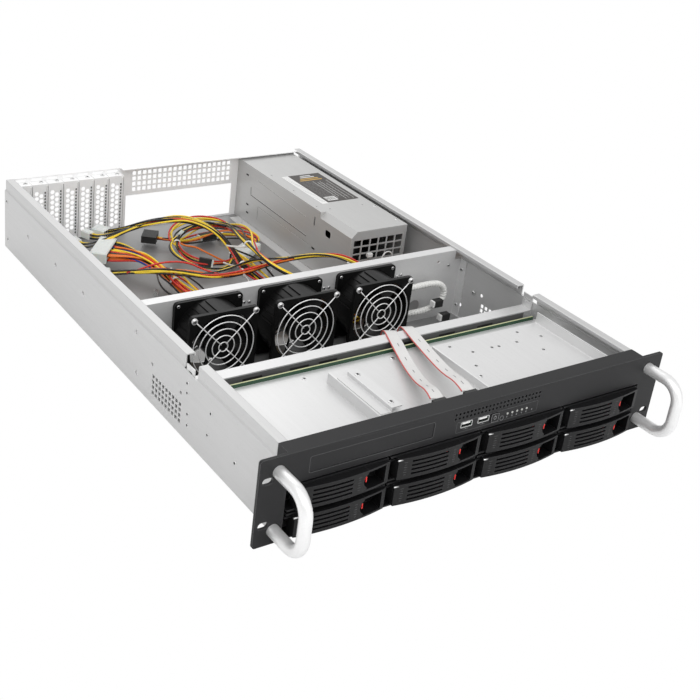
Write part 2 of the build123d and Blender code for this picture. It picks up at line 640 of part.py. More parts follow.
def fan_wall():
    """Wall across the chassis that carries the fans, with flanges at its top and sides."""
    y = (FAN_WALL_Y, FAN_WALL_Y + SHEET)
    low = block((-IN_W, IN_W), y, (SHEET, WALL_TOP))
    high = block((-RIM_IN + FIT, RIM_IN - FIT), y, (SHEET, FAN_WALL_TOP))
    wall = low + high
    wall += block((-RIM_IN + FIT, RIM_IN - FIT), (y[0], y[1] + FAN_WALL_FLANGE), (FAN_WALL_TOP - SHEET, FAN_WALL_TOP))
    side = block((IN_W - SHEET, IN_W), (y[0] - FAN_WALL_FLANGE, y[0]), (SHEET, WALL_TOP))
    wall += mirrored(side)
    for i in range(FAN_COUNT):
        wall -= rod((fan_x(i), y[0], FAN_Z), FAN_BORE_R, 4 * SHEET, "Y")
    for x, z, r in FAN_WALL_HOLES:
        wall -= rod((x, y[0], z), r, 4 * SHEET, "Y")
    return wall


def fan_frame():
    """Moulded housing of one fan: two square flanges, a round barrel and the struts of the motor."""
    y = (FAN_WALL_Y - FAN_DEPTH, FAN_WALL_Y)
    square = RectangleRounded(FAN_SIZE, FAN_SIZE, 5)
    corners = [Pos(a * FAN_HOLE_PITCH / 2, b * FAN_HOLE_PITCH / 2) * Circle(2.2) for a in (-1, 1) for b in (-1, 1)]
    flange = square - corners
    frame = along_y(flange, (y[0], y[0] + FAN_FLANGE)) + along_y(flange, (y[1] - FAN_FLANGE, y[1]))
    frame += rod((0, FAN_WALL_Y - FAN_DEPTH / 2, 0), FAN_BORE_R + 1.6, FAN_DEPTH, "Y")
    frame -= rod((0, FAN_WALL_Y - FAN_DEPTH / 2, 0), FAN_BORE_R, FAN_DEPTH + 2, "Y")
    struts = Part() + [Rot(0, 45 + 90 * k, 0) * block((15, FAN_BORE_R + 1), (y[1] - 4, y[1] - 0.4), (-1.6, 1.6)) for k in range(4)]
    motor = rod((0, y[1] - 2.2, 0), FAN_HUB_R, 3.6, "Y")
    pin = rod((0, y[1] - 10, 0), FAN_PIN_R, 14, "Y")
    return frame + struts + motor + pin


def fan_rotor(size=1.0):
    """Hub and blades of one fan, open at the rear for its motor, on the axle of the housing."""
    hub = rod((0, 0, 0), FAN_HUB_R * size, FAN_ROTOR_L * size, "Y")
    bore = FAN_PIN_R + FAN_PIN_PLAY
    blade = Rot(FAN_PITCH_DEG, 0, 0) * block(
        (FAN_HUB_R * size - 2, FAN_BORE_R * size + 4), (-12 * size, 12 * size), (-0.8, 0.8)
    )
    blades = Part() + [Rot(0, 360 * k / FAN_BLADES, 0) * blade for k in range(FAN_BLADES)]
    blades &= rod((0, 0, 0), FAN_BORE_R * size - FAN_TIP_GAP, FAN_ROTOR_L * size, "Y")
    rotor = hub + blades
    return rotor - rod((0, FAN_ROTOR_L * size / 2, 0), bore, 2 * (FAN_ROTOR_L * size - 4), "Y")


def guard_ring(radius, y):
    """One ring of a finger guard."""
    return along_y(Circle(radius + GUARD_WIRE / 2) - Circle(radius - GUARD_WIRE / 2), (y - GUARD_WIRE, y))


def fan_guard():
    """Finger guard of one fan: rings on crossed struts that end under the corner screws."""
    front = FAN_WALL_Y - FAN_DEPTH
    guard = Part() + [guard_ring(FAN_BORE_R * (k + 0.7) / GUARD_RINGS, front) for k in range(GUARD_RINGS)]
    reach = FAN_HOLE_PITCH / math.sqrt(2)
    for k in range(4):
        arm = block((4, reach - 1), (front - GUARD_WIRE, front), (-GUARD_WIRE / 2, GUARD_WIRE / 2))
        eye = rod((reach, front - GUARD_WIRE / 2, 0), 3.4, GUARD_WIRE, "Y")
        hole = rod((reach, front, 0), 1.7, 4, "Y")
        guard += Rot(0, 45 + 90 * k, 0) * (arm + eye - hole)
    return guard


def at_fans(shape):
    """Copies of a fan piece, one at each fan."""
    return [Pos(fan_x(i), 0, FAN_Z) * shape for i in range(FAN_COUNT)]


def bay_brackets():
    """Hat bracket beside the disc drive bay and the stepped strip screwed on it."""
    right = BRACKET_X + BRACKET_W
    hat = folded([(BRACKET_X, CAGE_TOP), (BRACKET_X, BRACKET_Z), (right, BRACKET_Z), (right, CAGE_TOP + SHEET),
                  (right + BRACKET_TREAD, CAGE_TOP + SHEET)])
    riser = BRACKET_X + BRACKET_TREAD
    strip = folded([(BRACKET_X + 1.5, BRACKET_Z + SHEET), (riser, BRACKET_Z + SHEET), (riser, STRIP_Z),
                    (riser + BRACKET_TREAD - 1, STRIP_Z)], radius=0.6)
    return [along_y(hat, BRACKET_Y), along_y(strip, STRIP_Y)]


def upper_shelf():
    """Shelf above the drives: a plate with a folded foot at the left and rear and a raised right edge."""
    plate = folded([(SHELF_X[0], CAGE_TOP), (SHELF_X[0], SHELF_Z), (SHELF_X[1], SHELF_Z), (SHELF_X[1], SHELF_Z + SHELF_EDGE_H)])
    shelf = along_y(plate, SHELF_Y)
    shelf += block((SHELF_X[0] + SHEET, SHELF_X[1] - 10), (SHELF_Y[1] - SHEET, SHELF_Y[1]), (CAGE_TOP, SHELF_Z))
    shelf -= block((SHELF_X[0] - 1, CONTROL_X[1] + 2), (0, 24), (CAGE_TOP - 1, SHELF_Z + 1))
    for x, y in SHELF_HOLES:
        shelf -= rod((x, y, SHELF_Z), 1.8, 6, "Z")
    return shelf


def control_board():
    """Circuit board of the front controls with its spacers, switches, light rods and two sockets."""
    board = block(CONTROL_X, CONTROL_Y, CONTROL_Z)
    for x in (CONTROL_X[0] + 5, CONTROL_X[1] - 4):
        board += rod((x, (PANEL_T + CONTROL_Y[0]) / 2, CONTROL_Z[0] + 4), 2.4, CONTROL_Y[0] - PANEL_T, "Y")
    board += block((POWER_X - 3, POWER_X + 3), (SWITCH_Y, CONTROL_Y[0]), (BUTTON_Z - 3, BUTTON_Z + 3))
    reset_z = BUTTON_Z - RESET_DROP
    board += block((RESET_X - 2.4, RESET_X + 2.4), (SWITCH_Y, CONTROL_Y[0]), (reset_z - 2.4, reset_z + 2.4))
    length = CONTROL_Y[0] - 0.2
    for i in range(LIGHT_COUNT):
        board += rod((light_x(i), 0.2 + length / 2, BUTTON_Z), LIGHT_R - 0.1, length, "Y")
    return board + usb_ports()


def usb_ports():
    """Two folded socket shells with their tongues."""
    ports = Part()
    for x in USB_X:
        shell = block((x - USB_W / 2, x + USB_W / 2), (0.3, CONTROL_Y[0]), (USB_Z - USB_H / 2, USB_Z + USB_H / 2))
        shell -= block(
            (x - USB_W / 2 + 0.5, x + USB_W / 2 - 0.5), (0, 9), (USB_Z - USB_H / 2 + 0.5, USB_Z + USB_H / 2 - 0.5)
        )
        shell += block((x - 5, x + 5), (1.2, 9), (USB_Z, USB_Z + 1.6))
        ports += shell
    return ports


def power_button():
    """Square cap with a rim behind the panel that keeps it in."""
    z = BUTTON_Z
    half = POWER_SIZE / 2
    cap = block((POWER_X - half, POWER_X + half), (-1.2, 5), (z - half, z + half))
    cap = fillet(cap.faces().sort_by(Axis.Y)[0].edges(), 0.5)
    return cap + block((POWER_X - half - 1, POWER_X + half + 1), (PANEL_T + FIT, 5), (z - half - 1, z + half + 1))


def reset_button():
    """Small round plunger with a rim behind the panel."""
    z = BUTTON_Z - RESET_DROP
    plunger = rod((RESET_X, 2.5, z), RESET_R, 5, "Y")
    return plunger + rod((RESET_X, 4.15, z), RESET_R + 1, 1.7, "Y")


def corner_wedge(depth, rear_y):
    """Prism that cuts the sloped corner of the power supply, deeper by the given amount."""
    x, z = PSU_X[0] - 2, PSU_TOP + 2
    leg = PSU_CHAMFER + depth + 4
    return along_y(outline((x, z), (x, z - leg), (x + leg, z)), (PSU_Y0 - 3, rear_y))


def psu_cover():
    """Top and sides of the power supply, folded from one sheet, with a sloped corner at the front left."""
    x0, x1 = PSU_X
    z0 = SHEET + PSU_SHEET + FIT
    corner_y = PSU_Y0 + PSU_CHAMFER_L
    cover = block(PSU_X, (PSU_Y0, BODY_D), (z0, PSU_TOP)) - corner_wedge(0, corner_y)
    inside = block((x0 + PSU_SHEET, x1 - PSU_SHEET), (PSU_Y0 - 1, BODY_D + 1), (z0 - 1, PSU_TOP - PSU_SHEET))
    cover -= inside - corner_wedge(PSU_SHEET * math.sqrt(2), corner_y + PSU_SHEET)
    for y, z, w, h in PSU_SIDE_HOLES:
        hole = Pos(y, z) * RectangleRounded(w, h, min(w, h) * 0.3)
        cover -= along_x(hole, (x0 - 1, x0 + 3))
    return cover


def psu_case():
    """Floor, front grid and rear wall of the power supply."""
    x = (PSU_X[0] + PSU_SHEET + 0.1, PSU_X[1] - PSU_SHEET - 0.1)
    z = (SHEET, PSU_TOP - PSU_SHEET - 0.1)
    case = block(PSU_X, (PSU_Y0, BODY_D), (z[0], z[0] + PSU_SHEET))
    front = block(x, (PSU_Y0, PSU_Y0 + PSU_SHEET), z)
    front -= [
        block((cx, cx + PSU_GRID_HOLE[0]), (PSU_Y0 - 1, PSU_Y0 + 2), (cz, cz + PSU_GRID_HOLE[1]))
        for cx, cz in [
            (x[0] + 3.6 + a, PSU_GRID_Z0 + b) for a, b in grid(PSU_GRID_COLS, PSU_GRID_ROWS, *PSU_GRID_PITCH)
        ]
    ]
    front -= corner_wedge(PSU_SHEET * math.sqrt(2) + 0.2, PSU_Y0 + PSU_SHEET + 1)
    front -= along_y(Pos(PSU_EXIT[0], PSU_EXIT[2]) * SlotOverall(*PSU_EXIT_SIZE), (PSU_Y0 - 1, PSU_Y0 + 2))
    rear = block(x, (BODY_D - PSU_SHEET, BODY_D), z)
    rear -= rod((PSU_FAN_X, BODY_D, PSU_FAN_Z), PSU_FAN_SIZE / 2 - 2, 6, "Y")
    rear -= block(INLET_X, (BODY_D - 3, BODY_D + 1), INLET_Z)
    return case + front + rear


def psu_core():
    """Circuit board of the power supply with its heat sinks, transformer and capacitors."""
    y = (PSU_Y0 + 8, BODY_D - PSU_FAN_DEPTH - 15)
    x = (PSU_X[0] + 4, PSU_X[1] - 4)
    floor = SHEET + PSU_SHEET
    base = floor + CORE_LIFT
    top = base + CORE_BOARD_T
    core = block(x, y, (base, top))
    for fin_x in (x[0] + CORE_FIN_IN, x[1] - CORE_FIN_IN - CORE_FIN_T):
        core += block((fin_x, fin_x + CORE_FIN_T), (y[0] + 12, y[1] - 60), (top, PSU_TOP - 22))
    middle = (x[0] + x[1]) / 2
    core += block((middle - 12, middle + 12), (y[0] + 40, y[0] + 80), (top, PSU_TOP / 2))
    core += block((x[0] + 6, x[1] - 6), (y[1] - 50, y[1] - 20), (top, PSU_TOP / 2 - 2))
    for k in range(CORE_CANS):
        can = (middle - 7 + 14 * (k % 2), y[0] + 11 + 14 * (k // 2), top + CORE_CAN_H / 2)
        core += rod(can, CORE_CAN_R, CORE_CAN_H, "Z")
    for foot_x in (x[0] + 6, x[1] - 6):
        for foot_y in (y[0] + 10, y[1] - 10):
            core += rod((foot_x, foot_y, floor + CORE_LIFT / 2), 2.4, CORE_LIFT, "Z")
    return core


def psu_fan_frame():
    """Small fan housing behind the rear grille of the power supply."""
    half = PSU_FAN_SIZE / 2
    y = (BODY_D - PSU_SHEET - PSU_FAN_DEPTH, BODY_D - PSU_SHEET)
    square = RectangleRounded(PSU_FAN_SIZE, PSU_FAN_SIZE, 3) - Circle(half - 2)
    frame = along_y(square, y)
    frame += Part() + [Rot(0, 45 + 90 * k, 0) * block((8, half - 1), (y[1] - 3, y[1]), (-1.5, 1.5)) for k in range(4)]
    frame += rod((0, y[1] - 1.5, 0), PSU_FAN_HUB_R, 3, "Y")
    frame += rod((0, y[1] - 8, 0), FAN_PIN_R, 11, "Y")
    return Pos(PSU_FAN_X, 0, PSU_FAN_Z) * frame


def psu_fan_rotor():
    """Rotor of the small fan."""
    size = PSU_FAN_HUB_R / FAN_HUB_R
    y = BODY_D - PSU_SHEET - PSU_FAN_DEPTH / 2 - 1.5
    return Pos(PSU_FAN_X, y, PSU_FAN_Z) * fan_rotor(size)


def psu_inlet():
    """Mains inlet in the rear wall of the power supply, with three pins."""
    x = (INLET_X[0] + 0.2, INLET_X[1] - 0.2)
    z = (INLET_Z[0] + 0.2, INLET_Z[1] - 0.2)
    body = block(x, (BODY_D - 18, BODY_D + 0.0), z)
    body -= block((x[0] + 2.5, x[1] - 2.5), (BODY_D - 15, BODY_D + 1), (z[0] + 2.5, z[1] - 2.5))
    for dx, dz in ((0, -6), (0, 6), (3.5, 0)):
        cx = (x[0] + x[1]) / 2 + dx
        cz = (z[0] + z[1]) / 2 + dz
        body += block((cx - 1.2, cx + 1.2), (BODY_D - 16, BODY_D - 3), (cz - 1.9, cz + 1.9))
    return body


def standoffs():
    """Threaded posts on the floor for the main board."""
    return Compound([
        Pos(x, y, SHEET) * extrude(RegularPolygon(STANDOFF_R, 6) - Circle(1.5), amount=STANDOFF_H)
        for x in STANDOFF_X for y in STANDOFF_Y
    ])


def bend_radii(points):
    """Largest radius that each corner of a route takes: 0.45 of its shorter run over the tangent of half the turn."""
    radii = []
    for a, b, c in zip(points, points[1:], points[2:]):
        before, after = Vector(*b) - Vector(*a), Vector(*c) - Vector(*b)
        turn = math.radians(before.get_angle(after))
        radii.append(0.45 * min(before.length, after.length) / math.tan(turn / 2))
    return radii


def bundle(diameter, points):
    """Round bundle of leads along a route of straight runs and tangent arcs."""
    path = FilletPolyline(*points, radius=bend_radii(points))
    return sweep(Plane(points[0], z_dir=path % 0) * Circle(diameter / 2), path=path)


def plug(centre, length, width, height, heading):
    """Plain plug housing, hollowed from its open end."""
    body = Box(length, width, height)
    body -= Pos(3, 0, 0) * Box(length, width - 3, height - 3)
    return Pos(*centre) * Rot(0, 0, heading) * body


def ribbon(x, heading, profile):
    """Flat lead that leaves its plug, lies over the drives and folds down behind the brace."""
    path = FilletPolyline(*profile, radius=bend_radii(profile))
    section = make_face(offset(path, amount=RIBBON_T, side=Side.LEFT, closed=True).edges())
    strip = along_x(section, (-RIBBON_W / 2, RIBBON_W / 2))
    return Pos(x, RIBBON_Y0, 0) * Rot(0, 0, -heading) * strip


def ribbon_plugs():
    """Black plugs of the flat leads, on the control board and at the far ends."""
    width, depth, height = RIBBON_PLUG
    plugs = []
    for x, heading, profile in RIBBONS.values():
        top = BODY_H - 2
        plugs.append(block((x - width / 2, x + width / 2), (CONTROL_Y[1], RIBBON_Y0), (top - height + 3, top)))
        reach, drop = profile[-1]
        end = Pos(0, reach + RIBBON_T / 2, drop - height / 2) * Box(width, depth, height)
        plugs.append(Pos(x, RIBBON_Y0, 0) * Rot(0, 0, -heading) * end)
    return plugs


def psu_guide():
    """Flat strip on the floor along the left side of the power supply, with its screw holes."""
    x = (PSU_X[0] - FIT - GUIDE_STRIP_W, PSU_X[0] - FIT)
    strip = block(x, (PSU_Y0 - 40, SLOT_FRONT - FIT), (SHEET, 2 * SHEET))
    for y in (PSU_Y0, PSU_Y0 + 120, PSU_Y0 + 240):
        strip -= rod(((x[0] + x[1]) / 2, y, 2 * SHEET), 1.8, 6, "Z")
    return strip


def move_back(shape):
    """The shape in the part's own frame, whose origin is under the middle of the whole."""
    if isinstance(shape, (list, tuple)):
        shape = Compound(list(shape))
    return Pos(0, FRAME_SHIFT, 0) * shape


def all_nodes():
    """Every piece of the server by name, drawn where it lies at rest."""
    nodes = {
        "chassis_base": chassis_base(),
        "rear_panel": rear_panel(),
        "slot_covers": slot_covers(),
        "fan_wall": fan_wall(),
        "fan_frames": at_fans(fan_frame()) + [psu_fan_frame()],
        "fan_guards": at_fans(fan_guard()),
        "cross_brace": cross_brace(),
        "backplane": backplane(),
        "drive_cage": drive_cage(),
        "brackets": bay_brackets() + [psu_guide()],
        "upper_shelf": upper_shelf(),
        "front_panel": front_panel(),
        "bay_blank": bay_blank(),
        "control_board": control_board(),
        "power_button": power_button(),
        "reset_button": reset_button(),
        "handles": [handle(-1), handle(1)],
        "psu_case": psu_case(),
        "psu_cover": psu_cover(),
        "psu_core": psu_core(),
        "psu_fan_rotor": psu_fan_rotor(),
        "psu_inlet": psu_inlet(),
        "standoffs": standoffs(),
    }
    for name, (x, heading, profile) in RIBBONS.items():
        nodes[name] = ribbon(x, heading, profile)
    for name, (diameter, points) in BUNDLES.items():
        radii = bend_radii(points)
        shift = FAN_X0 + (FAN_COUNT - 1) * FAN_PITCH - ROUTE_FAN_X if name == "fan_lead" else PSU_X[0] - ROUTE_PSU_X
        nodes[name] = Pos(shift, 0, 0) * bundle(diameter, points)
        print(name, "radii", [round(r, 1) for r in radii], "volume", round(nodes[name].volume))
    for name, group in PLUGS.items():
        nodes[name] = [Pos(PSU_X[0] - ROUTE_PSU_X, 0, 0) * plug(*values) for values in group]
    nodes["plugs_black"] += power_sockets() + ribbon_plugs()
    rotor = fan_rotor()
    for i in range(FAN_COUNT):
        nodes[f"fan_rotor_{i + 1}"] = Pos(fan_x(i), FAN_WALL_Y - 4 - FIT - FAN_ROTOR_L / 2, FAN_Z) * rotor
    tray, lever, latch = tray_solids(), lever_solid(), latch_solid()
    for i in range(COLS * ROWS):
        x, z = cell(i)
        nodes[f"tray_{i + 1}"] = [Pos(x, 0, z) * s for s in tray]
        nodes[f"lever_{i + 1}"] = Pos(x, 0, z) * lever
        nodes[f"latch_{i + 1}"] = Pos(x, 0, z) * latch
    return nodes


os.makedirs("parts", exist_ok=True)
for name, shape in all_nodes().items():
    export_step(move_back(shape), f"parts/{name}.step")
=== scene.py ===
import bpy
import math
import numpy as np
from mathutils import Matrix, Vector


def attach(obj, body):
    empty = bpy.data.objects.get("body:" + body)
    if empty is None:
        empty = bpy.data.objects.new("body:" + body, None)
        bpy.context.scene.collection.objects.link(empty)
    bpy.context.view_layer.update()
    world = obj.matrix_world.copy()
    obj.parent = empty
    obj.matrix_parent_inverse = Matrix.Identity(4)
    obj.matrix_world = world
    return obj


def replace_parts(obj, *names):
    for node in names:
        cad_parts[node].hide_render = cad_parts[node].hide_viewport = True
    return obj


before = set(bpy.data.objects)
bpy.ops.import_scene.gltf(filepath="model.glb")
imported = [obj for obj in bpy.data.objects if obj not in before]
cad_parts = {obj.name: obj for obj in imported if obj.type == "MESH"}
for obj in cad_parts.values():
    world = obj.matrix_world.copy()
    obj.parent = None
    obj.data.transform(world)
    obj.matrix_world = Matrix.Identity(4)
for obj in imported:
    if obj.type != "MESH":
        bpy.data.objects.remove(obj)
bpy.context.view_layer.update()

# Where the front panel's face lies in the frame, in metres
FRONT_Y = -0.300

# Places that repeat, in millimetres: fans, drive bays, card slots, and the supply's top and left side
FAN_X0, FAN_PITCH, FAN_Z, FAN_SCREW = -132.0, 101.0, 44.0, 35.75
BAY_W, BAY_H, BAY_Z0 = 106.0, 28.1, 1.3
SLOT_X0, SLOT_PITCH = -195.4, 20.32
SUPPLY_TOP, SUPPLY_SIDE = 83.95, 113.95

# Height of the floor sheet's face under the wires, in metres
SHEET_TOP = 0.0013

# Loose single wires, in metres: radius, and the heights between which they stay
WIRE_R = 0.00115
WIRE_LOW, WIRE_HIGH = 0.0027, 0.080

# Where the case's sheet turns from the floor, darkened with painted shade, to the wall, in metres
FLOOR_SHADE_FADE, FLOOR_SHADE_HALF = (0.0045, 0.0060), 0.2115

# Cable tie, in metres: half width of the band, how far it lies in and out of the bundle, and lowest point
TIE_HALF, TIE_IN, TIE_OUT, TIE_LOW = 0.0011, -0.0003, 0.0005, 0.0016
TIE_HEAD = (0.0032, 0.0030, 0.0028)

# Finger guards: radius of the wire in metres, and in millimetres the bore that the rings share out
# and how far out the eyes lie
GUARD_WIRE, GUARD_BORE, GUARD_EYE = 0.00065, 38.0, 50.55

# View of the photograph: place in metres, azimuth, height and roll in degrees, lens in mm and shift
VIEW_PLACE = (-0.6903, -0.9555, 0.6206)
VIEW_TURN = (-36.727, 25.427, 7.055)
VIEW_LENS, VIEW_SHIFT = 60.52, (0.04, -0.08)

# Soft lights: place, what they face, side length in metres and power; and strength of the surroundings
LAMPS = {
    "key": ((-1.0, -1.0, 1.9), (0, 0, 0), 1.6, 18.0),
    "fill": ((0.5, -2.0, 1.1), (0, 0.1, 0), 1.6, 11.0),
    "back": ((0.3, 1.7, 1.7), (0, 0, 0), 1.8, 11.0),
}
SURROUND = 0.72


class Wire:
    """One output socket of a shader, with arithmetic on numbers."""

    def __init__(self, paint, socket):
        self.paint = paint
        self.socket = socket

    def _math(self, kind, *others):
        node = self.paint.node("Math", operation=kind)
        for slot, value in zip(node.inputs, (self,) + others):
            self.paint.feed(slot, value)
        return Wire(self.paint, node.outputs[0])

    def __add__(self, other):
        return self._math("ADD", other)

    def __rsub__(self, other):
        return (self * -1.0) + other

    def __mul__(self, other):
        return self._math("MULTIPLY", other)

    def below(self, level):
        return self._math("LESS_THAN", level)

    def size(self):
        return self._math("ABSOLUTE")


class Paint:
    """A material: a principled surface whose inputs are fed by wires."""

    def __init__(self, name):
        self.material = bpy.data.materials.new(name)
        self.material.use_nodes = True
        self.tree = self.material.node_tree
        self.shader = self.tree.nodes["Principled BSDF"]

    def node(self, kind, **settings):
        made = self.tree.nodes.new("ShaderNode" + kind)
        for key, value in settings.items():
            setattr(made, key, value)
        return made

    def feed(self, slot, value):
        if isinstance(value, Wire):
            self.tree.links.new(value.socket, slot)
        elif isinstance(value, (tuple, list)) and slot.type == "RGBA" and len(value) == 3:
            slot.default_value = (*value, 1.0)
        else:
            slot.default_value = value

    def place(self):
        """Coordinates of the point in the part's own metres."""
        return Wire(self, self.node("TexCoord").outputs["Object"])

    def axes(self, vector):
        split = self.node("SeparateXYZ")
        self.feed(split.inputs[0], vector)
        return [Wire(self, o) for o in split.outputs]

    def noise(self, scale, detail, stretch=(1.0, 1.0, 1.0)):
        """Noise from 0 to 1 with about so many lumps a metre."""
        mapping = self.node("Mapping")
        self.feed(mapping.inputs["Vector"], self.place())
        mapping.inputs["Scale"].default_value = stretch
        texture = self.node("TexNoise")
        self.tree.links.new(mapping.outputs[0], texture.inputs["Vector"])
        self.feed(texture.inputs["Scale"], scale)
        self.feed(texture.inputs["Detail"], detail)
        return Wire(self, texture.outputs["Fac"])

    def ramp(self, value, low, high, start=0.0, end=1.0):
        """Value from low to high turned into start to end, smooth and clamped."""
        node = self.node("MapRange", interpolation_type="SMOOTHSTEP")
        for slot, number in zip(node.inputs, (value, low, high, start, end)):
            self.feed(slot, number)
        return Wire(self, node.outputs[0])

    def edges(self, radius):
        """1 near a sharp edge and 0 on a face: how far the rounded normal leans from the true one."""
        soft = self.node("Bevel", samples=4)
        soft.inputs["Radius"].default_value = radius
        lean = self.node("VectorMath", operation="DOT_PRODUCT")
        self.tree.links.new(soft.outputs[0], lean.inputs[0])
        self.tree.links.new(self.node("NewGeometry").outputs["Normal"], lean.inputs[1])
        return self.ramp(1.0 - Wire(self, lean.outputs["Value"]), 0.03, 0.25)

    def mix(self, share, first, second):
        """Colour between two colours."""
        node = self.node("Mix", data_type="RGBA")
        for slot, value in zip([node.inputs[i] for i in (0, 6, 7)], (share, first, second)):
            self.feed(slot, value)
        return Wire(self, node.outputs[2])

    def bump(self, height, strength, distance):
        """Normal that follows a height between 0 and 1, so many metres high."""
        node = self.node("Bump")
        self.feed(node.inputs["Height"], height)
        node.inputs["Strength"].default_value = strength
        node.inputs["Distance"].default_value = distance
        self.feed(self.shader.inputs["Normal"], Wire(self, node.outputs[0]))

    def surface(self, **inputs):
        for key, value in inputs.items():
            self.feed(self.shader.inputs[key.replace("_", " ")], value)
        return self.material


def plain(name, colour, roughness=0.5, metallic=0.0, speckle=0.0, bump=0.0, scale=900.0, edge_wear_and_highlight=None, **more):
    """A nearly even surface: a little lighter and darker in patches, with a fine grain, and, where a colour
    for the edges is given, lighter edges that are partly edge wear and partly painted highlight.
    """
    paint = Paint(name)
    patches = paint.noise(14.0, 3.0)
    grain = paint.noise(scale, 2.0)
    dark = tuple(c * (1.0 - speckle) for c in colour)
    light = tuple(min(1.0, c * (1.0 + speckle)) for c in colour)
    share = paint.ramp(patches * 0.6 + grain * 0.4, 0.3, 0.7)
    rough = paint.ramp(grain, 0.25, 0.75, roughness * 0.88, min(1.0, roughness * 1.12))
    if bump:
        paint.bump(grain, 0.5, bump)
    base = paint.mix(share, dark, light)
    # Lighter edges: partly edge wear, partly painted highlight
    if edge_wear_and_highlight:
        base = paint.mix(paint.edges(0.0007) * paint.ramp(patches, 0.2, 0.6, 0.5, 1.0), base, edge_wear_and_highlight)
    return paint.surface(Base_Color=base, Roughness=rough, Metallic=metallic, **more)


def zinc(name, colour, roughness=0.42, streak=0.02, floor=0.0, metallic=0.45):
    """Zinc plated sheet: faint rolling streaks along Y, cloudy patches and small specks. Where a floor value
    is given, painted shade darkens the floor; lighter edges are partly edge wear and partly painted
    highlight.
    """
    paint = Paint(name)
    streaks = paint.noise(60.0, 3.0, (6.0, 0.25, 6.0))
    cloud = paint.noise(9.0, 4.0)
    specks = paint.ramp(paint.noise(420.0, 1.0), 0.62, 0.8)
    share = paint.ramp(streaks * 0.5 + cloud * 0.5, 0.32, 0.68)
    dark = tuple(c * (1.0 - streak) for c in colour)
    light = tuple(min(1.0, c * (1.0 + streak)) for c in colour)
    base = paint.mix(share, dark, light)
    base = paint.mix(specks * 0.10, base, (0.45, 0.46, 0.47))
    # Painted shade: low in the sheet and between the side walls, the colour darkens to the floor value
    if floor:
        x, _, z = paint.axes(paint.place())
        low = paint.ramp(z, *FLOOR_SHADE_FADE, 1.0, 0.0) * x.size().below(FLOOR_SHADE_HALF)
        base = paint.mix(low, base, (floor, floor, floor))
    # Lighter at sharp edges: partly edge wear, partly painted highlight
    base = paint.mix(paint.edges(0.0008) * 0.5, base, (0.92, 0.92, 0.92))
    paint.bump(streaks, 0.04, 0.0001)
    rough = paint.ramp(cloud * 0.5 + specks * 0.5, 0.2, 0.8, roughness * 0.85, roughness * 1.15)
    return paint.surface(Base_Color=base, Roughness=rough, Metallic=metallic)


# Zinc sheet of the case, its floor darkened with painted shade
ZINC = zinc("zinc sheet", (0.60, 0.60, 0.60), 0.46, floor=0.30)
# Painted light: a brighter copy of the zinc sheet for the rear panel, the slot covers and their fold strips,
# standing in for the front light on them
ZINC_PAINTED_LIT = zinc("zinc sheet painted lit", (0.93, 0.93, 0.93), 0.50, 0.01, metallic=0.10)
ZINC_IN = zinc("zinc sheet inside", (0.74, 0.74, 0.74), 0.42)
DULL = zinc("dull supply sheet", (0.54, 0.54, 0.535), 0.50)
# Black paint and plastic with lighter edges: partly edge wear, partly painted highlight
BLACK_PAINT = plain("black powder paint", (0.014, 0.014, 0.015), 0.50, speckle=0.12, bump=0.00010,
                    scale=1500.0, edge_wear_and_highlight=(0.10, 0.10, 0.105), Specular_IOR_Level=0.30)
BLACK_PLASTIC = plain("black moulded plastic", (0.0075, 0.0075, 0.008), 0.42, speckle=0.12, bump=0.00004,
                      edge_wear_and_highlight=(0.055, 0.055, 0.06), Specular_IOR_Level=0.28)
FAN_BLACK = plain("fan plastic", (0.004, 0.004, 0.004), 0.38, speckle=0.15, Specular_IOR_Level=0.22)
HANDLE = plain("handle metal", (0.88, 0.88, 0.88), 0.38, metallic=0.60, speckle=0.04, bump=0.00003)
GUARD = plain("guard wire plate", (0.95, 0.95, 0.95), 0.30, metallic=0.45, speckle=0.03)
BOARD = plain("green board lacquer", (0.006, 0.050, 0.018), 0.35, speckle=0.15)
SOCKET = plain("black socket plastic", (0.014, 0.014, 0.014), 0.45, speckle=0.1)
STEEL = plain("bright steel", (0.80, 0.80, 0.80), 0.28, metallic=0.9, speckle=0.04)
RED = plain("red latch plastic", (0.75, 0.020, 0.015), 0.35, speckle=0.1)
# Dark parts of the supply; the same colour is painted shade in the brace's slots
DARK_PARTS_AND_SLOT_SHADE = plain("dark power parts and painted slot shade", (0.03, 0.03, 0.03), 0.5, speckle=0.3)
MILKY = plain("milky plug plastic", (0.78, 0.78, 0.74), 0.32, speckle=0.05, Subsurface_Weight=0.15)
# Painted shade in holes, slots, gaps, grooves, cross cuts and contact cells
RECESS_SHADE = plain("painted recess shade", (0.008, 0.008, 0.009), 0.7, speckle=0.1)
INK = plain("pale print", (0.62, 0.62, 0.61), 0.5, speckle=0.05)
LABEL = plain("dark label film", (0.030, 0.024, 0.020), 0.35, speckle=0.1)
PALE = plain("pale paper", (0.80, 0.80, 0.79), 0.5, speckle=0.04)
GREY_INK = plain("grey print", (0.22, 0.22, 0.225), 0.5, speckle=0.05)
# Faint marks, and the painted highlight round the blank
FAINT_MARK_AND_HIGHLIGHT = plain("faint mark and painted highlight", (0.085, 0.085, 0.088), 0.5, speckle=0.05)
